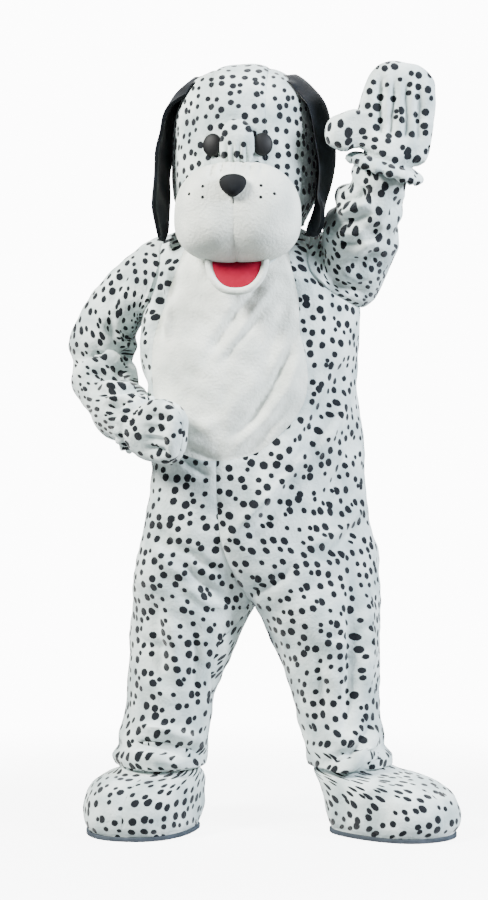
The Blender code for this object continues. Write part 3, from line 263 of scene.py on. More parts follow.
# Finer creases of the suit, in the same way
CREASES = folds(
    ((-117, 100, 76, -59, -21, -174, -78, -262, -101, -308),
     (104, 112, 90, -82, 5, -197, -65, -294), (-104, 100, 60, -146, -9, -232, -74, -322),
     (-130, 100, 122, -192, 106, -262, 65, -354, 14, -423, -51, -485),
     (104, 112, 134, -250, 92, -358, 28, -441, -37, -497),
     (-91, 100, 124, -340, 81, -411, 37, -471, -32, -515),
     (-117, 112, -154, -70, -170, -128, -189, -174),
     (-143, 100, -198, -20, -196, -146, -200, -273), (117, 100, -180, -31, -177, -146, -182, -262),
     (-130, 100, -253, -31, -260, -112, -249, -192), (-143, 112, 157, -8, 166, -77, 180, -146),
     (117, 112, 184, 1, 198, -73, 212, -142),
     (156, 125, 175, -423, 111, -538, 60, -596, -21, -676, -55, -722),
     (-143, 125, 194, -460, 134, -557, 74, -626, -5, -718),
     (-117, 100, -154, -508, -115, -529, -74, -557),
     (-104, 100, -143, -480, -101, -499, -60, -520),
     (117, 112, 249, -335, 198, -446, 129, -561, 60, -653),
     (-117, 112, 281, -446, 221, -561, 170, -653), (-130, 112, -28, -838, -90, -810, -152, -745),
     (-117, 112, -5, -842, 71, -803, 129, -745), (-104, 100, -41, -780, -92, -759, -129, -718),
     (104, 112, -18, -865, -88, -847, -157, -792),
     (-156, 138, -212, -838, -200, -964, -189, -1045),
     (104, 125, -175, -838, -161, -964, -152, -1068),
     (-117, 112, -124, -884, -108, -976, -120, -1091),
     (-143, 125, 249, -815, 260, -930, 244, -1103, 221, -1188),
     (130, 125, 290, -815, 293, -953, 281, -1103), (-117, 112, 170, -930, 182, -1045, 170, -1149),
     (182, 112, -276, -1133, -182, -1146, -83, -1183),
     (-169, 88, -281, -1167, -182, -1181, -83, -1213),
     (143, 100, -302, -1199, -217, -1204, -115, -1234),
     (-143, 100, 318, -1109, 244, -1195, 166, -1229),
     (156, 112, 327, -1142, 253, -1225, 170, -1257),
     (-130, 88, 350, -1174, 258, -1250, 170, -1280),
     (-117, 125, -217, -653, -170, -711, -101, -745),
     (104, 125, -221, -699, -175, -759, -111, -796), (-117, 125, 295, -653, 233, -715, 152, -762),
     (117, 125, 300, -607, 226, -681, 134, -727), (-104, 112, -263, -930, -217, -953, -157, -948),
     (-104, 112, 309, -895, 249, -930, 180, -921)),
    ((-130, 125, -101, -146, -32, -262, -9, -377), (130, 125, 129, -169, 71, -262, 41, -400),
     (-130, 112, 157, -216, 99, -312, 60, -451), (-130, 125, -147, -262, -90, -377, -44, -469),
     (130, 125, -170, -331, -101, -446, -37, -538), (-156, 125, -159, -745, -78, -815, -5, -838),
     (-156, 125, 175, -745, 94, -815, 14, -842), (117, 125, -170, -792, -90, -851, -18, -874),
     (-130, 125, -217, -838, -182, -953, -194, -1068),
     (-130, 125, 233, -838, 210, -953, 226, -1091),
     (156, 112, -286, -1149, -182, -1165, -90, -1197),
     (-143, 100, -290, -1181, -182, -1199, -90, -1227),
     (156, 112, 164, -1218, 244, -1188, 336, -1149),
     (-143, 100, 164, -1250, 249, -1222, 341, -1181), (-117, 112, 198, 38, 180, -100, 189, -239),
     (-117, 112, -217, 15, -198, -123, -212, -262), (-130, 112, -240, -964, -170, -994, -90, -980),
     (-130, 112, 129, -976, 210, -994, 290, -964), (117, 112, -240, -561, -147, -619, -67, -607),
     (-117, 112, 267, -538, 175, -607, 71, -619)))
# Creases of the sleeves
SLEEVE_CREASES = folds(
    ((-156, 112, -258, -312, -281, -232, -290, -174),
     (-156, 112, -267, -298, -302, -229, -332, -174),
     (-143, 112, -267, -317, -313, -285, -359, -257),
     (-143, 100, -270, -333, -323, -319, -373, -308),
     (-143, 100, -240, -356, -304, -361, -364, -356),
     (-156, 100, -217, -381, -276, -391, -327, -393),
     (130, 100, -270, -275, -293, -216, -309, -169),
     (130, 100, -281, -298, -323, -266, -350, -243),
     (117, 100, -258, -345, -318, -340, -369, -333),
     (130, 100, -226, -370, -286, -377, -336, -377),
     (156, 112, -221, -331, -182, -342, -147, -361),
     (-130, 88, -226, -356, -189, -368, -157, -381),
     (-117, 112, -272, -59, -304, -114, -318, -160), (-156, 112, 378, 107, 327, 19, 267, -8),
     (130, 112, 355, 52, 302, -8, 244, -27), (-156, 112, 327, -31, 272, -59, 226, -59),
     (130, 112, 313, -73, 263, -86, 221, -77), (-130, 100, 295, -119, 244, -114, 207, -91),
     (-156, 75, 217, 84, 258, 93, 290, 112), (130, 75, 212, 59, 258, 66, 295, 79),
     (-156, 75, 212, 36, 258, 38, 300, 52), (130, 75, 207, 13, 253, 10, 290, 19),
     (-156, 75, 207, -10, 253, -17, 286, -13)),
    ((-130, 125, -378, -216, -332, -262, -274, -280),
     (130, 125, -382, -262, -332, -303, -276, -312),
     (-130, 125, -369, -331, -320, -349, -263, -342),
     (-130, 125, -290, -59, -323, -123, -332, -183), (-156, 125, 226, 84, 290, 52, 369, 72),
     (130, 125, 221, 33, 281, -4, 346, 10), (-156, 125, 217, -17, 272, -59, 323, -50),
     (-130, 125, 207, -82, 253, -119, 300, -105)))
# Folds that run round the sleeves
HANGS = {
    1: thousandths(
        Hang,
        (340, 500, 5, 35, 220, 100), (460, 450, -6, 30, 200, -80), (550, 550, 5, 30, 200, 60),
        (660, 480, -6, 28, 220, -100), (750, 500, 5, 28, 200, 100), (300, 900, -5, 50, 150, 200),
        (500, 0, -4, 50, 140, -200), (720, 950, 4, 40, 160, 150)),
    -1: thousandths(
        Hang,
        (420, 120, 5, 35, 200, 100), (520, 100, -7, 30, 220, 0), (600, 150, 6, 30, 200, -100),
        (700, 120, -6, 30, 200, 100), (200, 600, -4, 60, 150, 200), (360, 750, 4, 50, 150, -200),
        (860, 200, 4, 30, 200, 100)),
}
SLEEVE_RIGHT = thousandths(
    Arm,
    (0, -214, 2, -78, 104, 100), (125, -264, 10, -104, 92, 94), (250, -306, 22, -154, 83, 88),
    (375, -339, 30, -216, 77, 84), (500, -345, 26, -282, 73, 80), (625, -325, -12, -338, 71, 76),
    (750, -297, -76, -388, 70, 72), (875, -262, -138, -420, 64, 64),
    (1000, -233, -176, -438, 52, 53))
SLEEVE_LEFT = thousandths(
    Arm,
    (0, 225, 0, -55, 95, 100), (143, 258, -16, -42, 93, 96), (286, 271, -52, -10, 91, 92),
    (429, 281, -94, 34, 87, 86), (571, 296, -130, 78, 79, 77), (714, 311, -152, 121, 68, 66),
    (857, 325, -166, 155, 58, 57), (1000, 334, -172, 181, 54, 55))
# Which way the top of each sleeve has turned to by its wrist
WRIST_TOP = ((-0.10, 0.10, -1.00), (-1.00, 0.00, 0.10))
# Where the mitts point
HAND_LEFT = (0.13, -0.04, 0.99)
HAND_RIGHT = (0.76, -0.62, -0.14)
MITT_LEFT = thousandths(
    Palm,
    (-36, 80, 80, 76), (-24, 93, 93, 86), (-8, 80, 80, 74), (0, 0, 0, 0), (10, 74, 86, 60),
    (19, 81, 128, 56), (34, 86, 154, 53), (56, 88, 160, 51), (77, 88, 150, 49), (91, 88, 122, 48),
    (102, 88, 91, 47), (138, 88, 87, 47), (178, 81, 80, 43), (208, 63, 61, 35), (223, 35, 33, 22))
MITT_RIGHT = thousandths(
    Palm,
    (-22, 74, 72, 68), (-9, 68, 67, 64), (0, 0, 0, 0), (16, 64, 66, 54), (38, 70, 74, 48),
    (60, 71, 77, 46), (86, 69, 74, 44), (108, 60, 63, 38), (122, 40, 42, 27))
HEAD = thousandths(
    HeadRing,
    (424, 0, 0, 0), (420, 45, 46, 48), (410, 80, 82, 86), (393, 110, 113, 119),
    (366, 137, 139, 147), (325, 156, 158, 170), (275, 166, 168, 182), (220, 171, 172, 188),
    (165, 172, 173, 190), (110, 170, 171, 188), (60, 164, 167, 181), (12, 157, 160, 168),
    (-35, 149, 157, 156), (-72, 142, 152, 142))
HEAD_AT = (0.002, -0.035, -6.0)
RIM_SIDE, RIM_BACK = 0.0439, 0.0437
RIM_FROM = 0.110
GORE_HALF = 0.064
SHOE = (
    Shell(0.0103, 0.124, 0.190, 0.106, 0.0), Shell(0.032, 0.134, 0.204, 0.115, 0.0),
    Shell(0.060, 0.138, 0.208, 0.118, 0.05), Shell(0.088, 0.136, 0.204, 0.117, 0.15),
    Shell(0.112, 0.129, 0.190, 0.112, 0.35), Shell(0.130, 0.115, 0.160, 0.104, 0.65),
    Shell(0.140, 0.097, 0.116, 0.094, 0.92), Shell(0.1495, 0.087, 0.094, 0.088, 1.0),
    Shell(0.166, 0.081, 0.086, 0.082, 1.0),
    Shell(0.188, 0.076, 0.079, 0.077, 1.0), Shell(0.215, 0.074, 0.076, 0.075, 1.0),
)
SHOE_RIGHT = (-0.234, -0.050, -13.0, 0.034, 0.008)
SHOE_LEFT = (0.328, -0.090, 40.0, -0.068, 0.040)
SOLE_EDGE = 0.005
SOLE = 0.010
BELLY = ((-0.120, 0.000), (-0.154, -0.060), (-0.184, -0.146), (-0.211, -0.230), (-0.216, -0.310),
         (-0.206, -0.400), (-0.178, -0.475), (-0.110, -0.513), (-0.037, -0.515), (0.030, -0.498),
         (0.075, -0.464), (0.112, -0.427), (0.140, -0.381), (0.149, -0.326), (0.142, -0.265),
         (0.130, -0.213), (0.127, -0.140), (0.112, -0.070), (0.090, 0.000), (0.0, 0.030))
MUZZLE_AT = (0.0, -0.160, 0.055)
MUZZLE = (0.147, 0.118, 0.105)
NOSE_AT = (0.0, -0.262, 0.106)
NOSE = (0.030, 0.020, 0.026)
EYE_AT = (0.058, 0.212)
EYE = (0.024, 0.027)
BRIDGE_AT = 0.216
BRIDGE = (0.040, 0.054)
MOUTH_AT = (0.0, -0.176, -0.052)
MOUTH = (0.057, 0.070)
MOUTH_TILT = 16.0
LIP = 0.0085
EAR_THICK = 0.009
EAR = {
    1: (Lobe(0.00, 0.082, -0.004, 0.345, 0.060, 0), Lobe(0.08, 0.124, -0.006, 0.384, 0.084, 2),
        Lobe(0.18, 0.156, -0.010, 0.346, 0.108, 14), Lobe(0.32, 0.174, -0.014, 0.294, 0.124, 20),
        Lobe(0.50, 0.186, -0.024, 0.220, 0.130, 22), Lobe(0.68, 0.190, -0.040, 0.144, 0.132, 26),
        Lobe(0.84, 0.184, -0.062, 0.074, 0.122, 32), Lobe(0.94, 0.175, -0.082, 0.032, 0.090, 38),
        Lobe(1.00, 0.168, -0.088, 0.008, 0.042, 40)),
    -1: (Lobe(0.00, 0.080, -0.004, 0.345, 0.060, 0), Lobe(0.08, 0.122, -0.006, 0.386, 0.084, 2),
         Lobe(0.18, 0.158, -0.010, 0.348, 0.108, 6), Lobe(0.32, 0.178, -0.020, 0.296, 0.130, 8),
         Lobe(0.50, 0.188, -0.034, 0.224, 0.142, 6), Lobe(0.68, 0.194, -0.052, 0.148, 0.142, 6),
         Lobe(0.84, 0.194, -0.070, 0.074, 0.126, 8), Lobe(0.94, 0.191, -0.082, 0.030, 0.090, 10),
         Lobe(1.00, 0.188, -0.088, 0.002, 0.042, 10)),
}
# Where the zip's strip ends, which is a row of the cloth
ZIP_STOP = -0.19 + (CROTCH + 0.19) * 5 / 9
# Small marks on the muzzle, in the head's frame: x and z
WHISKERS = ((-0.070, 0.081), (-0.102, 0.090), (0.063, 0.079), (0.093, 0.088), (0.063, 0.106),
            (-0.070, 0.106))
WHISKER_RADIUS = 0.0040
STEM, STEM_RADIUS, STEM_POINTS = (0.084, 0.066), 0.0013, 15
# Pleats at the muzzle's top: line, top, foot, depth, width
MUZZLE_PLEATS = ((-0.052, 0.118, 0.055, 0.0070, 0.0050), (-0.030, 0.118, 0.062, 0.0080, 0.0055),
                 (-0.009, 0.118, 0.070, 0.0055, 0.0045), (0.015, 0.118, 0.066, 0.0070, 0.0050),
                 (0.036, 0.118, 0.058, 0.0080, 0.0055), (0.060, 0.118, 0.062, 0.0060, 0.0050))
# Pleats of the pad between the eyes: line and width
BRIDGE_PLEATS = ((-0.021, 0.004), (-0.007, 0.0035), (0.009, 0.004), (0.024, 0.0035))
# Pleats of the mitts: lines across the palm, where they start and end, how long they fade
MITT_PLEATS = {Side.LEFT: ((-0.047, -0.017, 0.014, 0.043), 0.034, 0.205, 0.055),
               Side.RIGHT: ((-0.040, -0.014, 0.013, 0.038), 0.040, 0.118, 0.020)}
# Puckers of the shoe covers: angle, width, depth, top and foot
SHOE_PUCKERS = ((-0.9, 0.12, -0.003, 0.12, 0.03), (0.9, 0.12, -0.003, 0.12, 0.03),
                (0.33, 0.06, -0.0025, 0.135, 0.085), (-0.33, 0.06, -0.0025, 0.135, 0.085),
                (2.2, 0.15, -0.003, 0.13, 0.03), (-2.4, 0.15, -0.003, 0.12, 0.04))


def ease(t: np.ndarray | float) -> np.ndarray:
    """A smooth step from 0 to 1."""
    t = np.clip(t, 0.0, 1.0)
    return t * t * (3 - 2 * t)


def blend(a: np.ndarray | float, b: np.ndarray | float, t: np.ndarray | float) -> np.ndarray:
    """The value a share t of the way from a to b."""
    return a + (b - a) * t


def between(rows: Sequence[NamedTuple], key: np.ndarray | float) -> SimpleNamespace:
    """Read a table as smooth curves that never overshoot its rows.

    Args:
        rows: The table, in rising or falling order of its first column.
        key: One value of the first column, or an array of them.

    Returns:
        The table's columns at those values, by name.
    """
    data = np.array(rows, dtype=float)
    if data[0, 0] > data[-1, 0]:
        data = data[::-1]
    keys, width = data[:, 0], np.diff(data[:, 0])
    rise = np.diff(data, axis=0) / width[:, None]
    before, after = rise[:-1], rise[1:]
    total = np.where(before * after > 0, before + after, 1.0)
    middle = np.where(before * after > 0, 2 * before * after / total, 0.0)
    slope = np.vstack((rise[:1], middle, rise[-1:]))
    key = np.clip(np.asarray(key, dtype=float), keys[0], keys[-1])
    i = np.clip(np.searchsorted(keys, key, side="right") - 1, 0, len(width) - 1)
    span = width[i][..., None]
    t = ((key - keys[i]) / width[i])[..., None]
    out = ((2 * t**3 - 3 * t**2 + 1) * data[i] + (t**3 - 2 * t**2 + t) * slope[i] * span
           + (3 * t**2 - 2 * t**3) * data[i + 1] + (t**3 - t**2) * slope[i + 1] * span)
    return SimpleNamespace(**{name: out[..., c] for c, name in enumerate(rows[0]._fields)})


def near_line(x: np.ndarray, z: np.ndarray, line: Sequence[tuple[float, float]],
              closed: bool = False) -> tuple[np.ndarray, np.ndarray]:
    """Distances to a line in the view from the front.

    Args:
        x: Points across.
        z: Points up.
        line: The line's corners.
        closed: Whether its last corner joins its first.

    Returns:
        The distance from the line, and the share of the line's length at the nearest spot.
    """
    points = np.array(line + (line[:1] if closed else ()), dtype=float)
    best = np.full(np.shape(x), 9.0)
    where = np.zeros(np.shape(x))
    steps = np.diff(points, axis=0)
    lengths = np.hypot(steps[:, 0], steps[:, 1])
    done = 0.0
    for a, step, length in zip(points, steps, lengths):
        t = np.clip(((x - a[0]) * step[0] + (z - a[1]) * step[1]) / length**2, 0, 1)
        gap = np.hypot(x - a[0] - t * step[0], z - a[1] - t * step[1])
        nearer = gap < best
        best = np.where(nearer, gap, best)
        where = np.where(nearer, (done + t * length) / lengths.sum(), where)
        done += length
    return best, where


def ripple(points: np.ndarray, length: float, seed: int) -> np.ndarray:
    """A soft uneven ripple of about one unit's height.

    Args:
        points: Points of the cloth.
        length: The ripple's length in metres.
        seed: Which of the many such ripples.

    Returns:
        The height at each point.
    """
    draw = np.random.default_rng(seed)
    total = np.zeros(points.shape[:-1])
    for _ in range(9):
        way = draw.normal(size=3)
        way *= 2 * math.pi / (length * draw.uniform(0.7, 1.6)) / np.linalg.norm(way)
        total += np.sin(points @ way + draw.uniform(0, 2 * math.pi))
    return total / 3.0


def smooth_ring(points: Sequence[tuple[float, float]], steps: int) -> list[tuple[float, float]]:
    """A smooth closed outline through points, with this many steps from each to the next."""
    ring = []
    count = len(points)
    for k in range(count):
        p0, p1, p2, p3 = (Vector(points[(k + n) % count]) for n in (-1, 0, 1, 2))
        for step in range(steps):
            t = step / steps
            spot = 0.5 * ((2 * p1) + (p2 - p0) * t + (2 * p0 - 5 * p1 + 4 * p2 - p3) * t**2
                          + (3 * p1 - p0 - 3 * p2 + p3) * t**3)
            ring.append((spot.x, spot.y))
    return ring


@dataclass
class SuitForm:
    """The plain form of the trunk and legs, before its folds, and those folds."""

    rings: tuple[Ring, ...] = BODY
    folds: tuple[Fold, ...] = FOLDS

    def reach(self, side: int, ring: SimpleNamespace) -> np.ndarray:
        """How far a half reaches from the middle to its outline edge."""
        return ring.right - ring.mid if side > 0 else ring.mid - ring.left

    def point(self, side: int, z: np.ndarray, angle: np.ndarray) -> np.ndarray:
        """Points of a half. The angle runs from the side seam, minus towards the front."""
        ring = between(self.rings, z)
        reach = self.reach(side, ring)
        axis = ring.axis * reach
        across, along = np.cos(angle), np.sin(angle)
        depth = np.where(along < 0, ring.front, ring.back)
        shift = -ring.turn * along * np.where(along < 0, 1.0, 0.4)
        x = ring.mid + side * (axis + (reach - axis) * across) + shift
        return np.stack((x, ring.y + depth * along, z + 0 * x), axis=-1)

    def middle(self, side: int, z: np.ndarray) -> np.ndarray:
        """The middle of a half's ring."""
        ring = between(self.rings, z)
        x = ring.mid + side * ring.axis * self.reach(side, ring)
        return np.stack((x, ring.y, z + 0 * x), axis=-1)

    def polar(self, side: int, points: np.ndarray) -> tuple[np.ndarray, np.ndarray, np.ndarray]:
        """Angle, share of the way out, and size in metres of that way, in a half's ring."""
        ring = between(self.rings, points[..., 2])
        reach = self.reach(side, ring)
        ahead = points[..., 1] < ring.y
        along = (points[..., 1] - ring.y) / np.where(ahead, ring.front, ring.back)
        shift = -ring.turn * along * np.where(along < 0, 1.0, 0.4)
        across = (side * (points[..., 0] - ring.mid - shift) / reach - ring.axis) / (1 - ring.axis)
        size = np.hypot(reach * (1 - ring.axis) * across, ring.back * along)
        out = np.maximum(np.hypot(across, along), 1e-9)
        return np.arctan2(along, across), out, np.maximum(size, 1e-9) / out

    def fold_height(self, points: np.ndarray) -> np.ndarray:
        """How far the folds lift points of the suit off its plain form."""
        ring = between(self.rings, points[..., 2])
        total = np.zeros(points.shape[:-1])
        for fold in self.folds:
            toward = (points[..., 1] - ring.y) / np.where(fold.back, ring.back, -ring.front)
            gap, share = near_line(points[..., 0], points[..., 2], fold.line)
            ends = ease(np.minimum(share, 1 - share) / 0.22)
            lift = fold.height * np.exp(-(gap / fold.width) ** 2) * (0.15 + 0.85 * ends)
            total += np.where(toward > 0.05, lift * ease(toward / 0.5), 0.0)
        return total

    def pushed_out(self, side: int, points: np.ndarray, margin: np.ndarray | float) -> np.ndarray:
        """Points, those too near the suit moved level out of it to the margin."""
        angle, out, size = self.polar(side, points)
        edge = self.point(side, points[..., 2], angle)
        least = 1 + (margin + np.maximum(0, self.fold_height(edge))) / size
        middle = self.middle(side, points[..., 2])
        near = (points[..., 2] > HEM) & (points[..., 2] < 0.05) & (out < 1.4) & (out < least)
        return np.where(near[..., None], middle + (edge - middle) * least[..., None], points)

    def tucked_in(self, side: int, points: np.ndarray, margin: float) -> np.ndarray:
        """Points, those above the hem moved level to just inside the leg."""
        angle, _, size = self.polar(side, points)
        middle = self.middle(side, points[..., 2])
        edge = self.point(side, points[..., 2], angle)
        moved = middle + (edge - middle) * (1 - margin / size)[..., None]
        return np.where((points[..., 2] < HEM - 0.004)[..., None], points, moved)

    def meeting_angle(self, z: np.ndarray) -> np.ndarray:
        """Where a half's ring meets the middle of the body: a half turn once it is a leg."""
        axis = np.minimum(between(self.rings, z).axis, 0.49999)
        angle = np.arccos(-axis / (1 - axis))
        return np.where(between(self.rings, z).axis >= 0.4999, math.pi, angle)

    def inner_angle(self, side: int, z: np.ndarray, back: bool) -> np.ndarray:
        """The angle of the centre seam, and of the inside-leg seam below the fork."""
        swing = np.radians(between(INSEAM_RIGHT, z).angle) if side < 0 else np.pi + 0 * z
        swing = 2 * math.pi - swing if back else swing
        return np.where(z >= CROTCH - 1e-9, self.meeting_angle(z), swing)

    def rows(self, side: int, back: bool) -> tuple[np.ndarray, np.ndarray, np.ndarray]:
        """For each row of cells: its height at the side seam and the centre, and the armhole."""
        def pick(level: Level) -> tuple[float, float]:
            return (level.left if side > 0 else level.right), (level.back if back else level.front)

        sides, centres, holes = [], [], []
        for top, bottom, cells in ((NECK, SHOULDER, CELLS_NECK), (SHOULDER, ARMPIT, CELLS_ARMHOLE),
                                   (ARMPIT, FORK, CELLS_TRUNK), (FORK, ANKLE, CELLS_LEG)):
            (s0, c0), (s1, c1) = pick(top), pick(bottom)
            t = np.arange(cells) / cells
            at_side, hole = t, 0 * t
            if top is SHOULDER:
                at_side = (1 - np.cos(math.pi * t)) / 2
                hole = ARMHOLE_TURN[side > 0] * np.sin(math.pi * t)
            elif top is FORK:
                t = at_side = 1 - (1 - t) ** 1.5
            sides.append(blend(s0, s1, at_side))
            centres.append(blend(c0, c1, t))
            holes.append(hole)
        return (np.append(np.concatenate(sides), HEM), np.append(np.concatenate(centres), HEM),
                np.append(np.concatenate(holes), 0.0))

    def slope_length(self, z: np.ndarray) -> np.ndarray:
        """How much cloth lies between the hem and each height, down the mean slope."""
        levels = np.linspace(self.rings[-1].z, self.rings[0].z, 400)
        ring = between(self.rings, levels)
        reach = ((ring.right - ring.left) / 2 * (1 - ring.axis) + (ring.front + ring.back) / 2) / 2
        steps = np.hypot(np.diff(levels), np.diff(reach))
        return np.interp(z, levels, np.insert(np.cumsum(steps), 0, 0.0))

    def cloth(self, side: int, back: bool, grid: np.ndarray,
              start: tuple[float, float]) -> np.ndarray:
        """Where a panel's points lie on its flat cloth, in metres from the side line."""
        z_side, _, hole = self.rows(side, back)
        shares = np.linspace(0, 1, 9)
        arc = self.point(side, z_side[:, None] + 0 * shares,
                         hole[:, None] * shares * (1 if back else -1))
        missing = np.linalg.norm(np.diff(arc, axis=1), axis=-1).sum(axis=1)
        wide = np.linalg.norm(np.diff(grid, axis=1), axis=-1)
        wide = np.insert(np.cumsum(wide, axis=1), 0, 0, axis=1) + missing[:, None]
        return np.stack((wide + start[0], self.slope_length(grid[..., 2]) + start[1]), axis=-1)

    def panel(self, side: int, back: bool) -> np.ndarray:
        """The points of a front or back panel, row by row from its side seam to its centre."""
        z_side, z_centre, hole = self.rows(side, back)
        inner = self.inner_angle(side, z_centre, back)
        share = np.tile(np.arange(CELLS_ROUND + 1) / CELLS_ROUND, (len(z_side), 1))
        if back:
            ring = between(self.rings, z_centre)
            narrow = ZIP_WIDTH / 2 / (self.reach(side, ring) * (1 - ring.axis) * inner)
            strip = blend(narrow, 0.5 / CELLS_ROUND, ease((ZIP_END - z_centre) / 0.1))
            share = np.insert(share, CELLS_ROUND, 1 - strip, axis=1)
            share[:, CELLS_ROUND - 1] = np.minimum(share[:, CELLS_ROUND - 1],
                                                   share[:, CELLS_ROUND] - 0.006)
        z = blend(z_side[:, None], z_centre[:, None], ease(share))
        angle = blend(hole[:, None], inner[:, None], share)
        return self.point(side, z, angle if back else -angle)


def cloth_lengths(points: np.ndarray, row: int, column: int, start: tuple[float, float],
                  stretch: float = 1.0) -> np.ndarray:
    """Where each point lies on the flat cloth, in metres.

    Args:
        points: A grid of points.
        row: The row that the cloth's length is counted from.
        column: The column that its width is counted from.
        start: Where that row and column cross on the cloth.
        stretch: How much more cloth there is along the columns than the form shows.

    Returns:
        A grid of two lengths.
    """
    wide = np.linalg.norm(np.diff(points, axis=1), axis=-1)
    wide = np.insert(np.cumsum(wide, axis=1), 0, 0, axis=1)
    long = np.linalg.norm(np.diff(points, axis=0), axis=-1)
    long = np.insert(np.cumsum(long, axis=0), 0, 0, axis=0)
    wide = wide - wide[:, column:column + 1] + start[0]
    long = (long - long[row:row + 1, :]) * stretch + start[1]
    return np.stack((wide, long), axis=-1)


class Skin:
    """A skin of cloth joined from grids, which is then cut into pieces with a real wall."""

    def __init__(self) -> None:
        """Start an empty skin with a flat-cloth map and each point's place on a sleeve."""
        self.bm = bmesh.new()
        self.cloth = self.bm.loops.layers.uv.new("cloth")
        self.run = self.bm.verts.layers.float_vector.new("run")

    def grid(self, points: np.ndarray, cloth: np.ndarray, inside: np.ndarray,
             labels: np.ndarray, run: np.ndarray | None = None) -> None:
        """Add a grid of cells that faces away from inside.

        Args:
            points: Its points, row by row.
            cloth: Where they lie on the flat cloth.
            inside: A point inside the form for each row.
            labels: Which piece each cell belongs to.
            run: Three numbers to keep with each point, such as its place along a sleeve.
        """
        down, across = points.shape[0] - 1, points.shape[1] - 1
        made = bmesh.ops.create_grid(self.bm, x_segments=across, y_segments=down,
                                     size=1.0)["verts"]
        places = {}
        for vert in made:
            i, j = round((vert.co.x + 1) / 2 * across), round((vert.co.y + 1) / 2 * down)
            places[vert] = (j, i)
            vert.co = points[j, i]
            if run is not None:
                vert[self.run] = run[j, i]
        faces = {face for vert in made for face in vert.link_faces}
        out = 0.0
        for face in faces:
            face.normal_update()
            face.smooth = True
            corners = [places[loop.vert] for loop in face.loops]
            j, i = min(corner[0] for corner in corners), min(corner[1] for corner in corners)
            face.material_index = int(labels[j, i])
            away = face.calc_center_median() - Vector(inside[j])
            out += face.normal.dot(away) * face.calc_area()
            for loop in face.loops:
                loop[self.cloth].uv = cloth[places[loop.vert]]
        if out < 0:
            bmesh.ops.reverse_faces(self.bm, faces=list(faces))

    def finish(self) -> None:
        """Join the grids where they touch and set their normals."""
        bmesh.ops.remove_doubles(self.bm, verts=self.bm.verts[:], dist=0.000002)
        for face in self.bm.faces:
            face.normal_update()
        for vert in self.bm.verts:
            vert.normal_update()
        self.bm.verts.index_update()

    def places(self) -> np.ndarray:
        """All points as one array."""
        return np.array([vert.co[:] for vert in self.bm.verts])

    def runs(self) -> np.ndarray:
        """The three numbers kept with each point."""
        return np.array([vert[self.run][:] for vert in self.bm.verts])

    def lift(self, heights: np.ndarray) -> None:
        """Move each point along its normal and set the normals again."""
        for vert, height in zip(self.bm.verts, heights):
            vert.co += vert.normal * float(height)
        for face in self.bm.faces:
            face.normal_update()
        for vert in self.bm.verts:
            vert.normal_update()

    def seam_shares(self) -> np.ndarray:
        """1 on a seam or an open edge, less beside it, and 0 elsewhere."""
        shares = np.zeros(len(self.bm.verts))
        border = set()
        for vert in self.bm.verts:
            if vert.is_boundary or len({face.material_index for face in vert.link_faces}) > 1:
                border.add(vert)
                shares[vert.index] = 1.0
        for vert in border:
            for edge in vert.link_edges:
                other = edge.other_vert(vert)
                if other not in border:
                    shares[other.index] = max(shares[other.index], 0.35)
        return shares

    def wall(self, labels: Sequence[int], thickness: float,
             shares: np.ndarray | None = None) -> bmesh.types.BMesh:
        """Cut out the faces with these labels as a closed wall, thickened inwards.

        Args:
            labels: The labels to keep.
            thickness: The wall's thickness in metres.
            shares: For each point the share of that thickness, where it isn't even.

        Returns:
            The new piece's mesh.
        """
        out = self.bm.copy()
        self.bm.verts.ensure_lookup_table()
        source = [vert.normal.copy() for vert in self.bm.verts]
        keep = out.verts.layers.int.new("from")
        for k, vert in enumerate(out.verts):
            vert[keep] = k
        doomed = [face for face in out.faces if face.material_index not in labels]
        bmesh.ops.delete(out, geom=doomed, context="FACES")
        pulls = {vert: edge_pull(vert, SEAM / 2) for vert in out.verts if vert.is_boundary}
        for vert, pull in pulls.items():
            vert.co += pull
        made = bmesh.ops.extrude_face_region(out, geom=out.faces[:])["geom"]
        for vert in made:
            if isinstance(vert, bmesh.types.BMVert):
                share = 1.0 if shares is None else float(shares[vert[keep]])
                vert.co -= source[vert[keep]] * (thickness * share)
        bmesh.ops.recalc_face_normals(out, faces=out.faces[:])
        out.verts.layers.int.remove(out.verts.layers.int["from"])
        return out


def edge_pull(vert: bmesh.types.BMVert, distance: float) -> Vector:
    """The step that takes a border point into its piece by a distance from each border."""
    ways = []
    for edge in vert.link_edges:
        if len(edge.link_faces) == 1:
            face = edge.link_faces[0]
            face.normal_update()
            along = (edge.verts[1].co - edge.verts[0].co).normalized()
            way = face.normal.cross(along)
            if way.dot(face.calc_center_median() - edge.verts[0].co) < 0:
                way.negate()
            ways.append(way)
    if len(ways) != 2:
        return Vector()
    return (ways[0] + ways[1]) * (distance / max(1 + ways[0].dot(ways[1]), 0.25))


def link_mesh(name: str, bm: bmesh.types.BMesh, made: bpy.types.Material) -> bpy.types.Object:
    """Add an object with one material to the scene, from a mesh that is freed."""
    mesh = bpy.data.meshes.new(name)
    bm.to_mesh(mesh)
    bm.free()
    mesh.materials.append(made)
    thing = bpy.data.objects.new(name, mesh)
    bpy.context.scene.collection.objects.link(thing)
    return thing


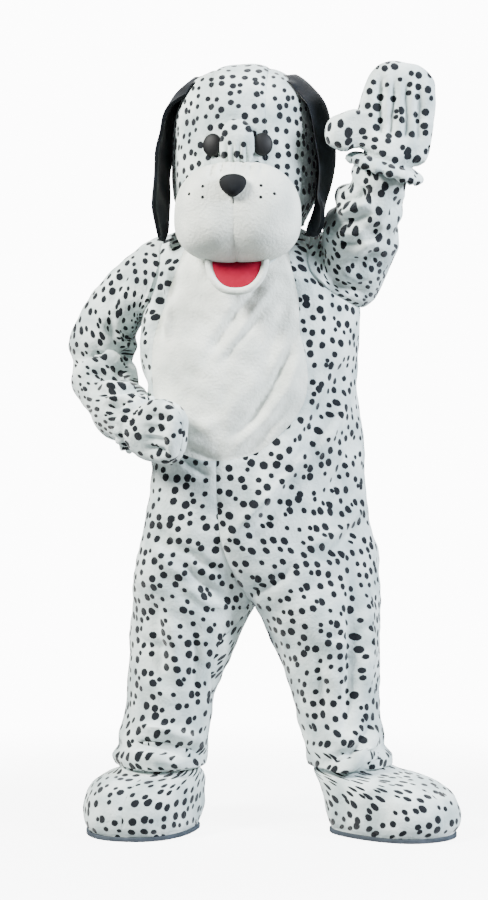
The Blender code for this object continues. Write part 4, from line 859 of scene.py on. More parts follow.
def cut(thing: bpy.types.Object, tool: bmesh.types.BMesh, keep_inside: bool = False,
        sharp: float | None = None) -> None:
    """Cut a piece with a closed form, for good.

    Args:
        thing: The piece.
        tool: The form, which is freed.
        keep_inside: Whether what is inside the form stays, instead of what is outside.
        sharp: The angle in degrees past which the new edges aren't shaded smooth.
    """
    mesh = bpy.data.meshes.new("tool")
    bmesh.ops.recalc_face_normals(tool, faces=tool.faces[:])
    tool.to_mesh(mesh)
    tool.free()
    cutter = bpy.data.objects.new("tool", mesh)
    bpy.context.scene.collection.objects.link(cutter)
    step = thing.modifiers.new("cut", "BOOLEAN")
    step.operation = "INTERSECT" if keep_inside else "DIFFERENCE"
    step.solver = "EXACT"
    step.object = cutter
    bpy.context.view_layer.update()
    graph = bpy.context.evaluated_depsgraph_get()
    result = bpy.data.meshes.new_from_object(thing.evaluated_get(graph))
    thing.modifiers.remove(step)
    old, name = thing.data, thing.data.name
    thing.data = result
    bpy.data.meshes.remove(old)
    result.name = name
    bpy.data.objects.remove(cutter)
    bpy.data.meshes.remove(mesh)
    if sharp is not None:
        result.set_sharp_from_angle(angle=math.radians(sharp))


def thicken(bm: bmesh.types.BMesh, way: tuple[float, float, float]) -> None:
    """Make a solid of a flat mesh by extruding all its faces."""
    new = bmesh.ops.extrude_face_region(bm, geom=bm.faces[:])["geom"]
    bmesh.ops.translate(bm, verts=[v for v in new if isinstance(v, bmesh.types.BMVert)], vec=way)


def linear(colour: str) -> tuple[float, float, float, float]:
    """The linear colour of an sRGB hex code."""
    parts = [int(colour[k:k + 2], 16) / 255 for k in (0, 2, 4)]
    parts = [c / 12.92 if c <= 0.04045 else ((c + 0.055) / 1.055) ** 2.4 for c in parts]
    return (*parts, 1.0)


class Board:
    """The nodes of one material."""

    def __init__(self, name: str) -> None:
        """Start a material.

        Args:
            name: The material's name.
        """
        self.material = bpy.data.materials.new(name)
        self.material.use_nodes = True
        self.tree = self.material.node_tree

    @cached_property
    def place(self) -> bpy.types.NodeSocket:
        """The piece's own coordinates."""
        return self.add("TexCoord").outputs["Object"]

    def fill(self, node: bpy.types.Node, inputs: dict[str, object]) -> None:
        """Fill the sockets of a node.

        Args:
            node: The node.
            inputs: The sockets, by name with _ for a space: a value, or an output to link from.
                The name in_1 is the socket with the number 1.
        """
        for name, value in inputs.items():
            key = int(name[3:]) if name.startswith("in_") else name.replace("_", " ")
            if isinstance(value, bpy.types.NodeSocket):
                self.tree.links.new(value, node.inputs[key])
            else:
                node.inputs[key].default_value = value

    def add(self, kind: str, settings: dict | None = None, **inputs: object) -> bpy.types.Node:
        """Add a node of a kind, with its own settings by name and its sockets filled."""
        made = self.tree.nodes.new("ShaderNode" + kind)
        for name, value in (settings or {}).items():
            setattr(made, name, value)
        self.fill(made, inputs)
        return made

    def noise(self, scale: float, detail: float) -> bpy.types.NodeSocket:
        """A soft noise over the piece."""
        return self.add("TexNoise", Vector=self.place, Scale=scale, Detail=detail).outputs["Fac"]

    def span(self, value: bpy.types.NodeSocket, smooth: bool = False,
             **ends: float) -> bpy.types.NodeSocket:
        """A value taken from one range to another."""
        way = {"interpolation_type": "SMOOTHSTEP" if smooth else "LINEAR"}
        return self.add("MapRange", way, Value=value, **ends).outputs["Result"]

    def reckon(self, operation: str, a: object, b: object) -> bpy.types.NodeSocket:
        """The result of two values."""
        return self.add("Math", {"operation": operation}, in_0=a, in_1=b).outputs[0]

    def mix(self, factor: bpy.types.NodeSocket, *pair: object) -> bpy.types.NodeSocket:
        """Two colours, each a hex code or an output, mixed by a factor from 0 to 1."""
        a, b = (linear(colour) if isinstance(colour, str) else colour for colour in pair)
        return self.add("Mix", {"data_type": "RGBA"}, in_0=factor, in_6=a, in_7=b).outputs[2]

    def bump(self, height: bpy.types.NodeSocket, strength: float, distance: float,
             **under: bpy.types.NodeSocket) -> bpy.types.NodeSocket:
        """A normal bumped by a height, over another normal if one is given."""
        return self.add("Bump", Strength=strength, Distance=distance, Height=height,
                        **under).outputs["Normal"]

    def finish(self, **inputs: object) -> bpy.types.Material:
        """Fill the shader's sockets and hand over the material."""
        self.fill(self.tree.nodes["Principled BSDF"], inputs)
        return self.material


@dataclass(frozen=True)
class Plush:
    """Short-pile plush, plain or with a scatter of round dots on the cloth's own map."""

    name: str
    slot: str
    ground: str
    # the darker colour of soft patches: partly the plush's own tone, partly painted sheen of the
    # nap
    shade: str
    dot: str = ""
    cell: float = 0.0285        # from dot to dot
    small: float = 0.0056       # radius of the smallest dots
    large: float = 0.0104
    nap: float = 0.0011         # from tuft to tuft

    def make(self) -> bpy.types.Material:
        """Build the material."""
        board = Board(self.name)
        # Soft darker patches about 70 mm wide: partly the pile's own uneven tone, partly painted
        # sheen standing in for the nap catching the light
        tint = board.span(board.noise(14.0, 2.0), From_Min=0.35, From_Max=0.68)
        colour = board.mix(tint, self.ground, self.shade)
        if self.dot:
            colour = self.dotted(board, colour)
        tufts, clumps = board.noise(1 / self.nap, 1.0), board.noise(0.16 / self.nap, 2.0)
        fine = board.bump(tufts, 0.8, 0.0009)
        return board.finish(Base_Color=colour, Roughness=0.96, Specular_IOR_Level=0.15,
                            Sheen_Weight=0.22, Sheen_Roughness=0.45,
                            Normal=board.bump(clumps, 0.8, 0.0026, Normal=fine))

    def dotted(self, board: Board, ground: bpy.types.NodeSocket) -> bpy.types.NodeSocket:
        """Lay dots of mixed sizes, with edges softened by the pile, over a colour."""
        cloth = board.add("UVMap", {"uv_map": "cloth"}).outputs["UV"]
        cells = board.add("TexVoronoi", {"voronoi_dimensions": "2D"}, Vector=cloth,
                          Scale=1 / self.cell, Randomness=0.72)
        draw = board.add("SeparateColor", Color=cells.outputs["Color"])
        radius = board.span(draw.outputs["Red"], To_Min=self.small / self.cell,
                            To_Max=self.large / self.cell)
        fray = board.reckon("MULTIPLY", board.noise(300.0, 1.0), 0.09)
        edge = board.reckon("SUBTRACT", cells.outputs["Distance"], radius)
        mask = board.span(board.reckon("ADD", edge, fray), True, From_Min=0.01, From_Max=0.08,
                          To_Min=1.0, To_Max=0.0)
        return board.mix(mask, ground, self.dot)


@dataclass(frozen=True)
class Pile:
    """Cloth of one colour with a short dense pile: velvet or felt."""

    name: str
    slot: str
    colour: str
    bright: str
    roughness: float
    sheen: float
    grain: float                # from fibre to fibre

    def make(self) -> bpy.types.Material:
        """Build the material."""
        board = Board(self.name)
        tint = board.span(board.noise(30.0, 3.0), From_Min=0.4, From_Max=0.7)
        fibres = board.noise(1 / self.grain, 2.0)
        return board.finish(Base_Color=board.mix(tint, self.colour, self.bright),
                            Roughness=self.roughness, Specular_IOR_Level=0.2,
                            Sheen_Weight=self.sheen, Sheen_Roughness=0.35,
                            Normal=board.bump(fibres, 0.4, 0.0004))


@dataclass(frozen=True)
class Smooth:
    """A smooth moulded or cast surface with a faint grain."""

    name: str
    slot: str
    colour: str
    worn: str
    roughness: float
    metal: float = 0.0
    grain: float = 0.0008
    depth: float = 0.00004
    gloss: float = 0.5

    def make(self) -> bpy.types.Material:
        """Build the material."""
        board = Board(self.name)
        wear = board.noise(45.0, 3.0)
        tint = board.span(wear, From_Min=0.45, From_Max=0.75)
        rough = board.span(wear, To_Min=self.roughness - 0.06, To_Max=self.roughness + 0.08)
        return board.finish(Base_Color=board.mix(tint, self.colour, self.worn), Roughness=rough,
                            Metallic=self.metal, Specular_IOR_Level=self.gloss,
                            Normal=board.bump(board.noise(1 / self.grain, 2.0), 0.5, self.depth))


@dataclass(frozen=True)
class Tape:
    """Woven zip tape, with its weave along and across."""

    name: str
    slot: str
    colour: str
    shade: str
    thread: float = 0.0006

    def make(self) -> bpy.types.Material:
        """Build the material."""
        board = Board(self.name)
        weave = [board.add("TexWave", {"bands_direction": way}, Vector=board.place,
                           Scale=0.314 / self.thread, Distortion=0.6).outputs["Fac"]
                 for way in ("X", "Z")]
        crossed = board.reckon("MULTIPLY", *weave)
        return board.finish(Base_Color=board.mix(crossed, self.shade, self.colour),
                            Roughness=0.8, Normal=board.bump(crossed, 0.5, 0.0002))


class Wardrobe:
    """All the finishes, each made into a material once."""

    def __init__(self) -> None:
        """Make the materials."""
        # White short-pile plush, printed with round black dots, larger on the suit
        # Its second colour darkens soft patches, partly the plush's own tone and partly painted
        # sheen
        ink = ("spotted_plush", "DAE4E1", "A6B5B5", "101419")
        self.spotted = self.build(Plush("dotted white plush", *ink))
        self.spotted_head = self.build(Plush("small-dotted white plush", *ink, 0.0275, 0.0058,
                                             0.0090))
        # Plain warm white plush of the belly and the muzzle, its second colour fainter patches of
        # its own tone and painted sheen
        self.white = self.build(Plush("plain white plush", "white_plush", "DFE3DA", "C6CCC5"))
        # Velvet of the ears, and felt of the mouth and of the stitched marks
        self.velvet = self.build(Pile("black velvet", "black_velvet", "0B0E12", "14191F", 0.95,
                                      0.10, 0.0007))
        self.felt = self.build(Pile("red felt", "red_felt", "800020", "8C082A", 0.92, 0.15,
                                    0.0012))
        self.black_felt = self.build(Pile("black felt", "black_nose", "0C0E11", "16191D", 0.9, 0.1,
                                          0.0010))
        # Moulded foam, plastic and rubber, and the metal and tape of the zip
        self.nose = self.build(Smooth("black flocked foam nose", "black_nose", "0A0C0F", "121519",
                                      0.8, grain=0.0006, depth=0.0001, gloss=0.2))
        self.eye = self.build(Smooth("black satin plastic eye", "black_eye", "07080A", "0F1114",
                                     0.62, gloss=0.25))
        self.sole = self.build(Smooth("dark slate rubber sole", "dark_sole", "28313A", "3A444F",
                                      0.72, grain=0.0014, depth=0.0003))
        self.metal = self.build(Smooth("dark nickel zip metal", "dark_metal", "5A5E62", "7C8085",
                                       0.38, metal=1.0))
        self.tape = self.build(Tape("pale woven zip tape", "zip_tape", "CDD3D6", "A4ACB2"))

    @staticmethod
    def build(finish: "Plush | Pile | Smooth | Tape") -> "Dressing":
        """Make one finish."""
        return Dressing(finish.make(), finish.slot)


@dataclass(frozen=True)
class Dressing:
    """A material with the slot of the record that it stands for."""

    material: bpy.types.Material
    slot: str


class Held(Enum):
    """How a sheet of cloth is held."""

    GATHERED = "gathered"
    HUNG = "hung"
    STRETCHED = "stretched"


class Cut(NamedTuple):
    """The flat piece that a sheet was cut from: its box, its area and how it is held."""

    width: float
    length: float
    area: float
    held: Held


CUTS: dict[str, Cut] = {
    "suit_front_right": Cut(0.47, 1.34, 0.400, Held.HUNG),
    "suit_front_left": Cut(0.47, 1.34, 0.400, Held.HUNG),
    "suit_back_right": Cut(0.50, 1.36, 0.490, Held.HUNG),
    "suit_back_left": Cut(0.50, 1.36, 0.490, Held.HUNG),
    "back_zip": Cut(0.012, 0.63, 0.0070, Held.STRETCHED),
    "sleeve_right": Cut(0.56, 0.62, 0.260, Held.GATHERED),
    "sleeve_left": Cut(0.56, 0.62, 0.260, Held.GATHERED),
    "belly_panel": Cut(0.40, 0.58, 0.195, Held.HUNG),
    "ear_right": Cut(0.16, 0.46, 0.057, Held.HUNG),
    "ear_left": Cut(0.16, 0.46, 0.057, Held.HUNG),
    "mouth_lining": Cut(0.114, 0.075, 0.0062, Held.STRETCHED),
}


def dress(name: str, bm: bmesh.types.BMesh, finish: Dressing, node: str | None = None,
          sharp: float = 60.0) -> bpy.types.Object:
    """Turn a mesh into a piece of the costume, with its finish.

    Args:
        name: The piece's name.
        bm: Its mesh, which is freed.
        finish: Its finish.
        node: The solid that it stands for.
        sharp: The angle in degrees past which an edge isn't shaded smooth.

    Returns:
        The new object.
    """
    for face in bm.faces:
        face.material_index = 0
        face.smooth = True
    thing = link_mesh(name, bm, finish.material)
    thing.data.set_sharp_from_angle(angle=math.radians(sharp))
    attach(thing, WORN)
    if node:
        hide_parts(node)
    LOG.info("%s: %d triangles", name, sum(len(poly.vertices) - 2 for poly in thing.data.polygons))
    return thing


def declare(thing: bpy.types.Object, node: str) -> None:
    """Log how much cloth a finished piece has."""
    area = sum(poly.area for poly in thing.data.polygons) / 2
    LOG.info("%s: %.4f square metres of cloth", thing.name, area)


@dataclass
class Suit:
    """The one-piece suit with its sleeves, belly panel and back zip."""

    wardrobe: Wardrobe
    form: SuitForm = field(default_factory=SuitForm)
    creases: tuple[Fold, ...] = CREASES
    sleeve_creases: tuple[Fold, ...] = SLEEVE_CREASES
    wall: float = 0.0025
    seam_dip: float = 0.0022
    belly_dip: float = 0.0035
    belly_groove: float = 0.007
    ripples: float = 0.0024

    def sleeve_frames(self, side: int) -> list[tuple[Arm, Vector, Vector, Vector]]:
        """Rows of a sleeve, each with its way along, its top and its front."""
        table = SLEEVE_LEFT if side > 0 else SLEEVE_RIGHT
        rows = []
        top = Vector((0.0, 0.0, 1.0))
        for step in range(CELLS_SLEEVE + 1):
            t = step / CELLS_SLEEVE
            row, a, b = (between(table, k) for k in (t, max(t - 0.02, 0), min(t + 0.02, 1)))
            way = Vector((b.x - a.x, b.y - a.y, b.z - a.z)).normalized()
            top = (top - way * top.dot(way)).normalized()
            rows.append((row, way, top.copy()))
        _, way, top = rows[-1]
        end = Vector(WRIST_TOP[side > 0])
        end = (end - way * end.dot(way)).normalized()
        turn = math.atan2(top.cross(end).dot(way), top.dot(end))
        frames = []
        for step, (row, way, top) in enumerate(rows):
            top = Matrix.Rotation(turn * float(ease(step / CELLS_SLEEVE)), 3, way) @ top
            frames.append((row, way, top, way.cross(top) if side > 0 else top.cross(way)))
        return frames

    def armhole(self, side: int, share: np.ndarray) -> np.ndarray:
        """Points of the armhole: share 0 at the armpit, 0.25 in front, 0.5 on the shoulder."""
        back = share > 0.5
        t = 1 - np.where(back, 2 - 2 * share, 2 * share)
        low, high = (ARMPIT.left, SHOULDER.left) if side > 0 else (ARMPIT.right, SHOULDER.right)
        z = blend(high, low, (1 - np.cos(math.pi * t)) / 2)
        hole = ARMHOLE_TURN[side > 0] * np.sin(math.pi * t)
        return self.form.point(side, z, np.where(back, hole, -hole))

    def add_sleeve(self, skin: Skin, side: int, label: int) -> None:
        """Add a sleeve to the skin, with its bunched rings."""
        frames = self.sleeve_frames(side)
        around = 2 * CELLS_ARMHOLE
        u = np.arange(around + 1) / around
        hole = self.armhole(side, u)
        grid = np.zeros((len(frames), around + 1, 3))
        run = np.zeros_like(grid)
        squeezed = 0.5 if side > 0 else 0.15
        near = (1 + np.cos(2 * math.pi * (u - squeezed))) / 2
        for j, (row, _, top, front) in enumerate(frames):
            v = j / CELLS_SLEEVE
            bunch = ((0.002 + 0.006 * near) * ease((v - 0.25) / 0.2) * ease((0.97 - v) / 0.15)
                     * math.cos(10 * math.pi * v))
            ring = (np.array((row.x, row.y, row.z))
                    - np.outer((row.top + bunch) * np.cos(2 * math.pi * u), top)
                    + np.outer((row.front + bunch) * np.sin(2 * math.pi * u), front))
            if v < 0.45:
                start = hole + np.array((side * ARM_START * v / 0.45, 0, 0))
                ring = blend(start, ring, ease(v / 0.45))
            grid[j] = hole if j == 0 else self.form.pushed_out(side, ring,
                                                               CLEAR_ARM * ease(v / 0.25))
            run[j] = np.stack((u, u * 0 + v, u * 0 + side), axis=-1)
        grid[:, -1], run[:, -1, 0] = grid[:, 0], 0.0
        cloth = cloth_lengths(grid, 0, 0, (12.3 + side, 3.1))
        cloth[:, :, 1] = (cloth[:, :, 1] + cloth[:, :, 1].max(axis=1)[:, None]) / 2
        inside = np.array([(row.x, row.y, row.z) for row, _, _, _ in frames])
        skin.grid(grid, cloth, inside, np.full((CELLS_SLEEVE, around), label), run)

    def build_skin(self) -> Skin:
        """The whole suit as one skin of fine cloth with its folds."""
        skin = Skin()
        for side in (-1, 1):
            for back in (False, True):
                grid = self.form.panel(side, back)
                z_side, _, _ = self.form.rows(side, back)
                label = (0 if side < 0 else 1) + (2 if back else 0)
                labels = np.full((grid.shape[0] - 1, grid.shape[1] - 1), label)
                if back:
                    labels[grid[1:, -1, 2] > ZIP_STOP - 1e-6, -1] = 4
                cloth = self.form.cloth(side, back, grid, (side * 2.3 + back * 5.1, back * 3.3))
                skin.grid(grid, cloth, self.form.middle(side, z_side), labels)
        self.add_sleeve(skin, -1, 5)
        self.add_sleeve(skin, 1, 6)
        skin.finish()
        skin.lift(self.lifts(skin))
        return skin

    def lifts(self, skin: Skin) -> np.ndarray:
        """How far each point of the skin moves along its normal."""
        places, runs = skin.places(), skin.runs()
        normals = np.array([vert.normal[:] for vert in skin.bm.verts])
        share = np.arange(2 * CELLS_ARMHOLE) / (2 * CELLS_ARMHOLE)
        holes = np.concatenate([self.armhole(side, share) for side in (-1, 1)])
        off = np.min(np.linalg.norm(places[:, None] - holes[None], axis=-1), axis=1)
        free = ease(off / 0.035)
        sleeve = runs[:, 2] != 0
        arm = ~sleeve | (off < 0.0005)
        toward = -normals[:, 1]
        suit = self.form.fold_height(places) + crease_height(places, toward, self.creases)
        belly, _ = near_line(places[:, 0], places[:, 2], BELLY, closed=True)
        front = (toward > 0.1) & arm
        suit -= np.where(front, self.belly_dip * np.exp(-(belly / self.belly_groove) ** 2), 0.0)
        arms = crease_height(places, toward, self.sleeve_creases) + hang_height(runs, HANGS)
        arms *= ease((1 - runs[:, 1]) / 0.08)
        total = np.where(arm, suit, arms) * free
        strip = np.array([any(face.material_index == 4 for face in vert.link_faces)
                          for vert in skin.bm.verts])
        total += self.ripples * (ripple(places, 0.11, 11) + 0.45 * ripple(places, 0.045, 12)) * (
            0.35 + 0.65 * free)
        total -= self.seam_dip * skin.seam_shares()
        return np.where(strip, -0.0012, total)

    def build(self) -> None:
        """Cut the skin into its pieces."""
        skin = self.build_skin()
        nodes = ("suit_front_right", "suit_front_left", "suit_back_right", "suit_back_left",
                 "back_zip", "sleeve_right", "sleeve_left")
        for label, node in enumerate(nodes):
            finish = self.wardrobe.tape if node == "back_zip" else self.wardrobe.spotted
            panel = dress(node + "_cloth", skin.wall((label,), self.wall), finish, node)
            if node.startswith("suit_front"):
                cut(panel, prism(BELLY, -0.45, -0.02, 0.0), sharp=60)
            declare(panel, node)
        belly = dress("belly_panel_cloth", skin.wall((0, 1), self.wall), self.wardrobe.white,
                      "belly_panel")
        cut(belly, prism(BELLY, -0.46, -0.015, -SEAM), True, 60)
        declare(belly, "belly_panel")
        skin.bm.free()


def crease_height(points: np.ndarray, toward: np.ndarray, folds: Sequence[Fold]) -> np.ndarray:
    """How far creases lift points, by how much these face the front.

    Args:
        points: The points.
        toward: 1 where they face the front and -1 where they face the back.
        folds: The creases.

    Returns:
        A height for each point.
    """
    total = np.zeros(points.shape[:-1])
    for fold in folds:
        facing = -toward if fold.back else toward
        gap, share = near_line(points[..., 0], points[..., 2], fold.line)
        ends = ease(np.minimum(share, 1 - share) / 0.3)
        lift = fold.height * np.exp(-(gap / fold.width) ** 2) * ends
        total += np.where(facing > 0.02, lift * ease(facing / 0.45), 0.0)
    return total


def hang_height(runs: np.ndarray, hangs: dict[int, tuple[Hang, ...]]) -> np.ndarray:
    """How far the folds across the sleeves lift their points.

    Args:
        runs: For each point its share round the sleeve, its share along it, and the side.
        hangs: The folds of each side.

    Returns:
        A height for each point.
    """
    total = np.zeros(len(runs))
    for side, folds in hangs.items():
        for fold in folds:
            across = (runs[:, 0] - fold.around + 0.5) % 1.0 - 0.5
            gap = runs[:, 1] - fold.along - fold.slant * across
            lift = fold.height * np.exp(-(gap / fold.width) ** 2 - (across / fold.spread) ** 2)
            total += np.where(runs[:, 2] == side, lift, 0.0)
    return total


def prism(points: Sequence[tuple[float, float]], front: float, back: float,
          grow: float) -> bmesh.types.BMesh:
    """A prism along Y over a smooth closed outline of x and z.

    Args:
        points: The outline.
        front: The prism's least y.
        back: Its greatest y.
        grow: How far the outline moves out.

    Returns:
        The prism's mesh.
    """
    ring = np.array(smooth_ring(points, 12))
    along = np.roll(ring, -1, axis=0) - np.roll(ring, 1, axis=0)
    way = np.stack((along[:, 1], -along[:, 0]), axis=1) / np.linalg.norm(along, axis=1)[:, None]
    away = np.sum(way * (ring - ring.mean(axis=0)), axis=1)
    ring = ring + way * np.where(away < 0, -grow, grow)[:, None]
    bm = bmesh.new()
    made = bmesh.ops.create_circle(bm, cap_ends=True, segments=len(ring), radius=1.0)["verts"]
    for vert, (x, z) in zip(made, ring):
        vert.co = Vector((x, front, z))
    thicken(bm, (0, back - front, 0))
    return bm


@dataclass
class Mitt:
    """A padded mitt in two halves, gathered at the wrist, with pleats between its fingers."""

    side: Side
    suit: Suit
    wardrobe: Wardrobe
    rows: int = 72
    round_cells: int = 44       # for each half
    wall: float = 0.004
    pleat: float = 0.016
    pleat_width: float = 0.0105
    palm: float = 0.080         # from the middle to where the thumb starts
    thumb_from: float = 0.100   # a side of the palm wider than this has the thumb in it
    thumb_at: float = 0.056     # from the wrist to the thumb's middle
    thumb_radius: float = 0.038
    palm_half: float = 0.096
    ruffle: float = 0.0035
    ruffles: int = 17

    def sizes(self, row: Arm) -> tuple[Palm, ...]:
        """The mitt's table with its wrist on the sleeve's end and its closed tip."""
        table = MITT_LEFT if self.side is Side.LEFT else MITT_RIGHT
        grip = 0.0004 + self.wall
        rows = [Palm(0.0, row.top + grip, row.top + grip, row.front + grip) if p.d == 0.0 else p
                for p in table]
        return (*rows, Palm(table[-1].d + 0.006, 0.0, 0.0, 0.0))

    @staticmethod
    def frames(middle: Vector, way: Vector, top: Vector, axis: Vector,
               depths: np.ndarray) -> list[tuple[Vector, Vector, Vector]]:
        """Where the mitt's rows are, as it turns from the sleeve's way to its own.

        Args:
            middle: The middle of its first row.
            way: The way that the sleeve ends in.
            top: The way from the wrist to its thumb's side.
            axis: The way that the hand points.
            depths: How far past the wrist each row is.

        Returns:
            For each row its middle, the way to the thumb's side and the way to the palm.
        """
        rings = []
        for j, d in enumerate(depths):
            heading = way.lerp(axis, float(ease(d / 0.05))).normalized()
            if j:
                half = (d + depths[j - 1]) / 2
                middle = middle + way.lerp(axis, float(ease(half / 0.05))).normalized() * float(
                    d - depths[j - 1])
            across = (top - heading * top.dot(heading)).normalized()
            rings.append((middle.copy(), across, heading.cross(across)))
        return rings

    def skin(self) -> Skin:
        """Both halves as one skin, with its pleats and gathers."""
        sign = self.side.value
        row, way, top, _ = self.suit.sleeve_frames(sign)[-1]
        table = self.sizes(row)
        axis = Vector(HAND_LEFT if sign > 0 else HAND_RIGHT).normalized()
        level = (top - axis * top.dot(axis)).normalized()
        t = np.arange(self.rows + 1) / self.rows
        depths = blend(table[0].d, table[-1].d, 1 - (1 - t) ** 1.35)
        sizes = between(table, depths)
        middle = Vector((float(row.x), float(row.y), float(row.z))) + way * table[0].d
        rings = self.frames(middle, way, top, axis, depths)
        skin = Skin()
        inside = np.array([ring[0] for ring in rings])
        for half in (0, 1):
            share = (np.arange(self.round_cells + 1) / self.round_cells + half) / 2
            c, s = -np.cos(2 * math.pi * share), np.sin(2 * math.pi * share)
            grid = np.zeros((len(rings), len(share), 3))
            run = np.zeros_like(grid)
            for j, (centre, across, palmward) in enumerate(rings):
                high, low = sizes.thumb[j], sizes.little[j]
                if sign < 0:
                    high, low = low, high
                full = 1 - 0.3 * ease(depths[j] / 0.04)
                wide = np.where(c > 0, high, low) * c
                deep = sizes.thick[j] * np.abs(s) ** full
                if high > self.thumb_from:
                    middle_of_thumb = high - self.thumb_radius
                    palm = sizes.thick[j] * np.clip(1 - (wide / self.palm_half) ** 2, 0, 1) ** 0.35
                    past = np.maximum(0, wide - middle_of_thumb)
                    thumb = np.sqrt(np.clip(self.thumb_radius ** 2 - past ** 2, 0, None))
                    puffed = np.maximum(palm, np.where(wide > 0.03, thumb, 0.0))
                    deep = blend(deep, puffed, float(ease((high - self.thumb_from) / 0.03)))
                deep = deep * np.sign(s)
                out = np.maximum(0, np.abs(wide) - self.palm) * np.sign(wide)
                fat = ease(out / 0.03) * ease(depths[j] / 0.01) * (
                    0.4 * (depths[j] - self.thumb_at) - 0.008)
                grid[j] = (np.array(centre) + np.outer(wide - out, across) + np.outer(out, level)
                           + np.outer(deep, palmward) + np.outer(fat, axis))
                run[j] = np.stack((wide, 0 * wide + depths[j], share), axis=-1)
            grid = self.suit.form.pushed_out(sign, grid, CLEAR_HAND)
            middle_column = self.round_cells // 2
            cloth = cloth_lengths(grid, 0, middle_column, (4.1 + 2.2 * half, 5.3 + sign))
            cloth[:, :, 1] = cloth[:, middle_column, 1][:, None]
            labels = np.full((len(rings) - 1, len(share) - 1), half)
            skin.grid(grid, cloth, inside, labels, run)
        skin.finish()
        skin.lift(self.lifts(skin))
        return skin

    def lifts(self, skin: Skin) -> np.ndarray:
        """How far the seams, the pleats and the gathered wrist move each point out."""
        sign = self.side.value
        runs = skin.runs()
        wide, deep, turn = runs[:, 0], runs[:, 1], runs[:, 2]
        lift = -0.0022 * skin.seam_shares()
        lines, start, end, fade = MITT_PLEATS[self.side]
        run_in = ease((deep - start) / 0.03) * ease((end - deep) / fade)
        for k, line in enumerate(lines):
            gap = wide - line + 0.10 * (0.12 - deep) * (1 + 0.4 * math.sin(2.1 * k)) * (sign > 0)
            lift -= self.pleat * (0.8 + 0.1 * k) * np.exp(-(gap / self.pleat_width) ** 2) * run_in
        at_wrist = np.exp(-((deep + 0.001) / 0.012) ** 2)
        out_there = ease((0.002 - deep) / 0.02)
        wave = np.cos(2 * math.pi * self.ruffles * turn + 0.8 * np.sin(4 * math.pi * turn))
        lift += self.ruffle * wave * out_there
        lift += 0.0018 * np.cos(2 * math.pi * 2 * self.ruffles * turn) * np.exp(
            -((deep - 0.010) / 0.014) ** 2)
        lift -= 0.001 * at_wrist
        return lift + 0.0014 * ripple(skin.places(), 0.06, 21 + sign)

    def build(self) -> None:
        """Build both halves."""
        skin = self.skin()
        for half, word in enumerate(("palm", "back")):
            node = "mitt_%s_%s" % (self.side.word, word)
            piece = dress(node + "_plush", skin.wall((half,), self.wall), self.wardrobe.spotted,
                          node)
            declare(piece, node)
        skin.bm.free()


class HeadStep(NamedTuple):
    """A ring of the head by its number."""

    at: float
    z: float
    half: float
    front: float
    back: float


HEAD_STEPS = tuple(HeadStep(k, *ring) for k, ring in enumerate(HEAD))


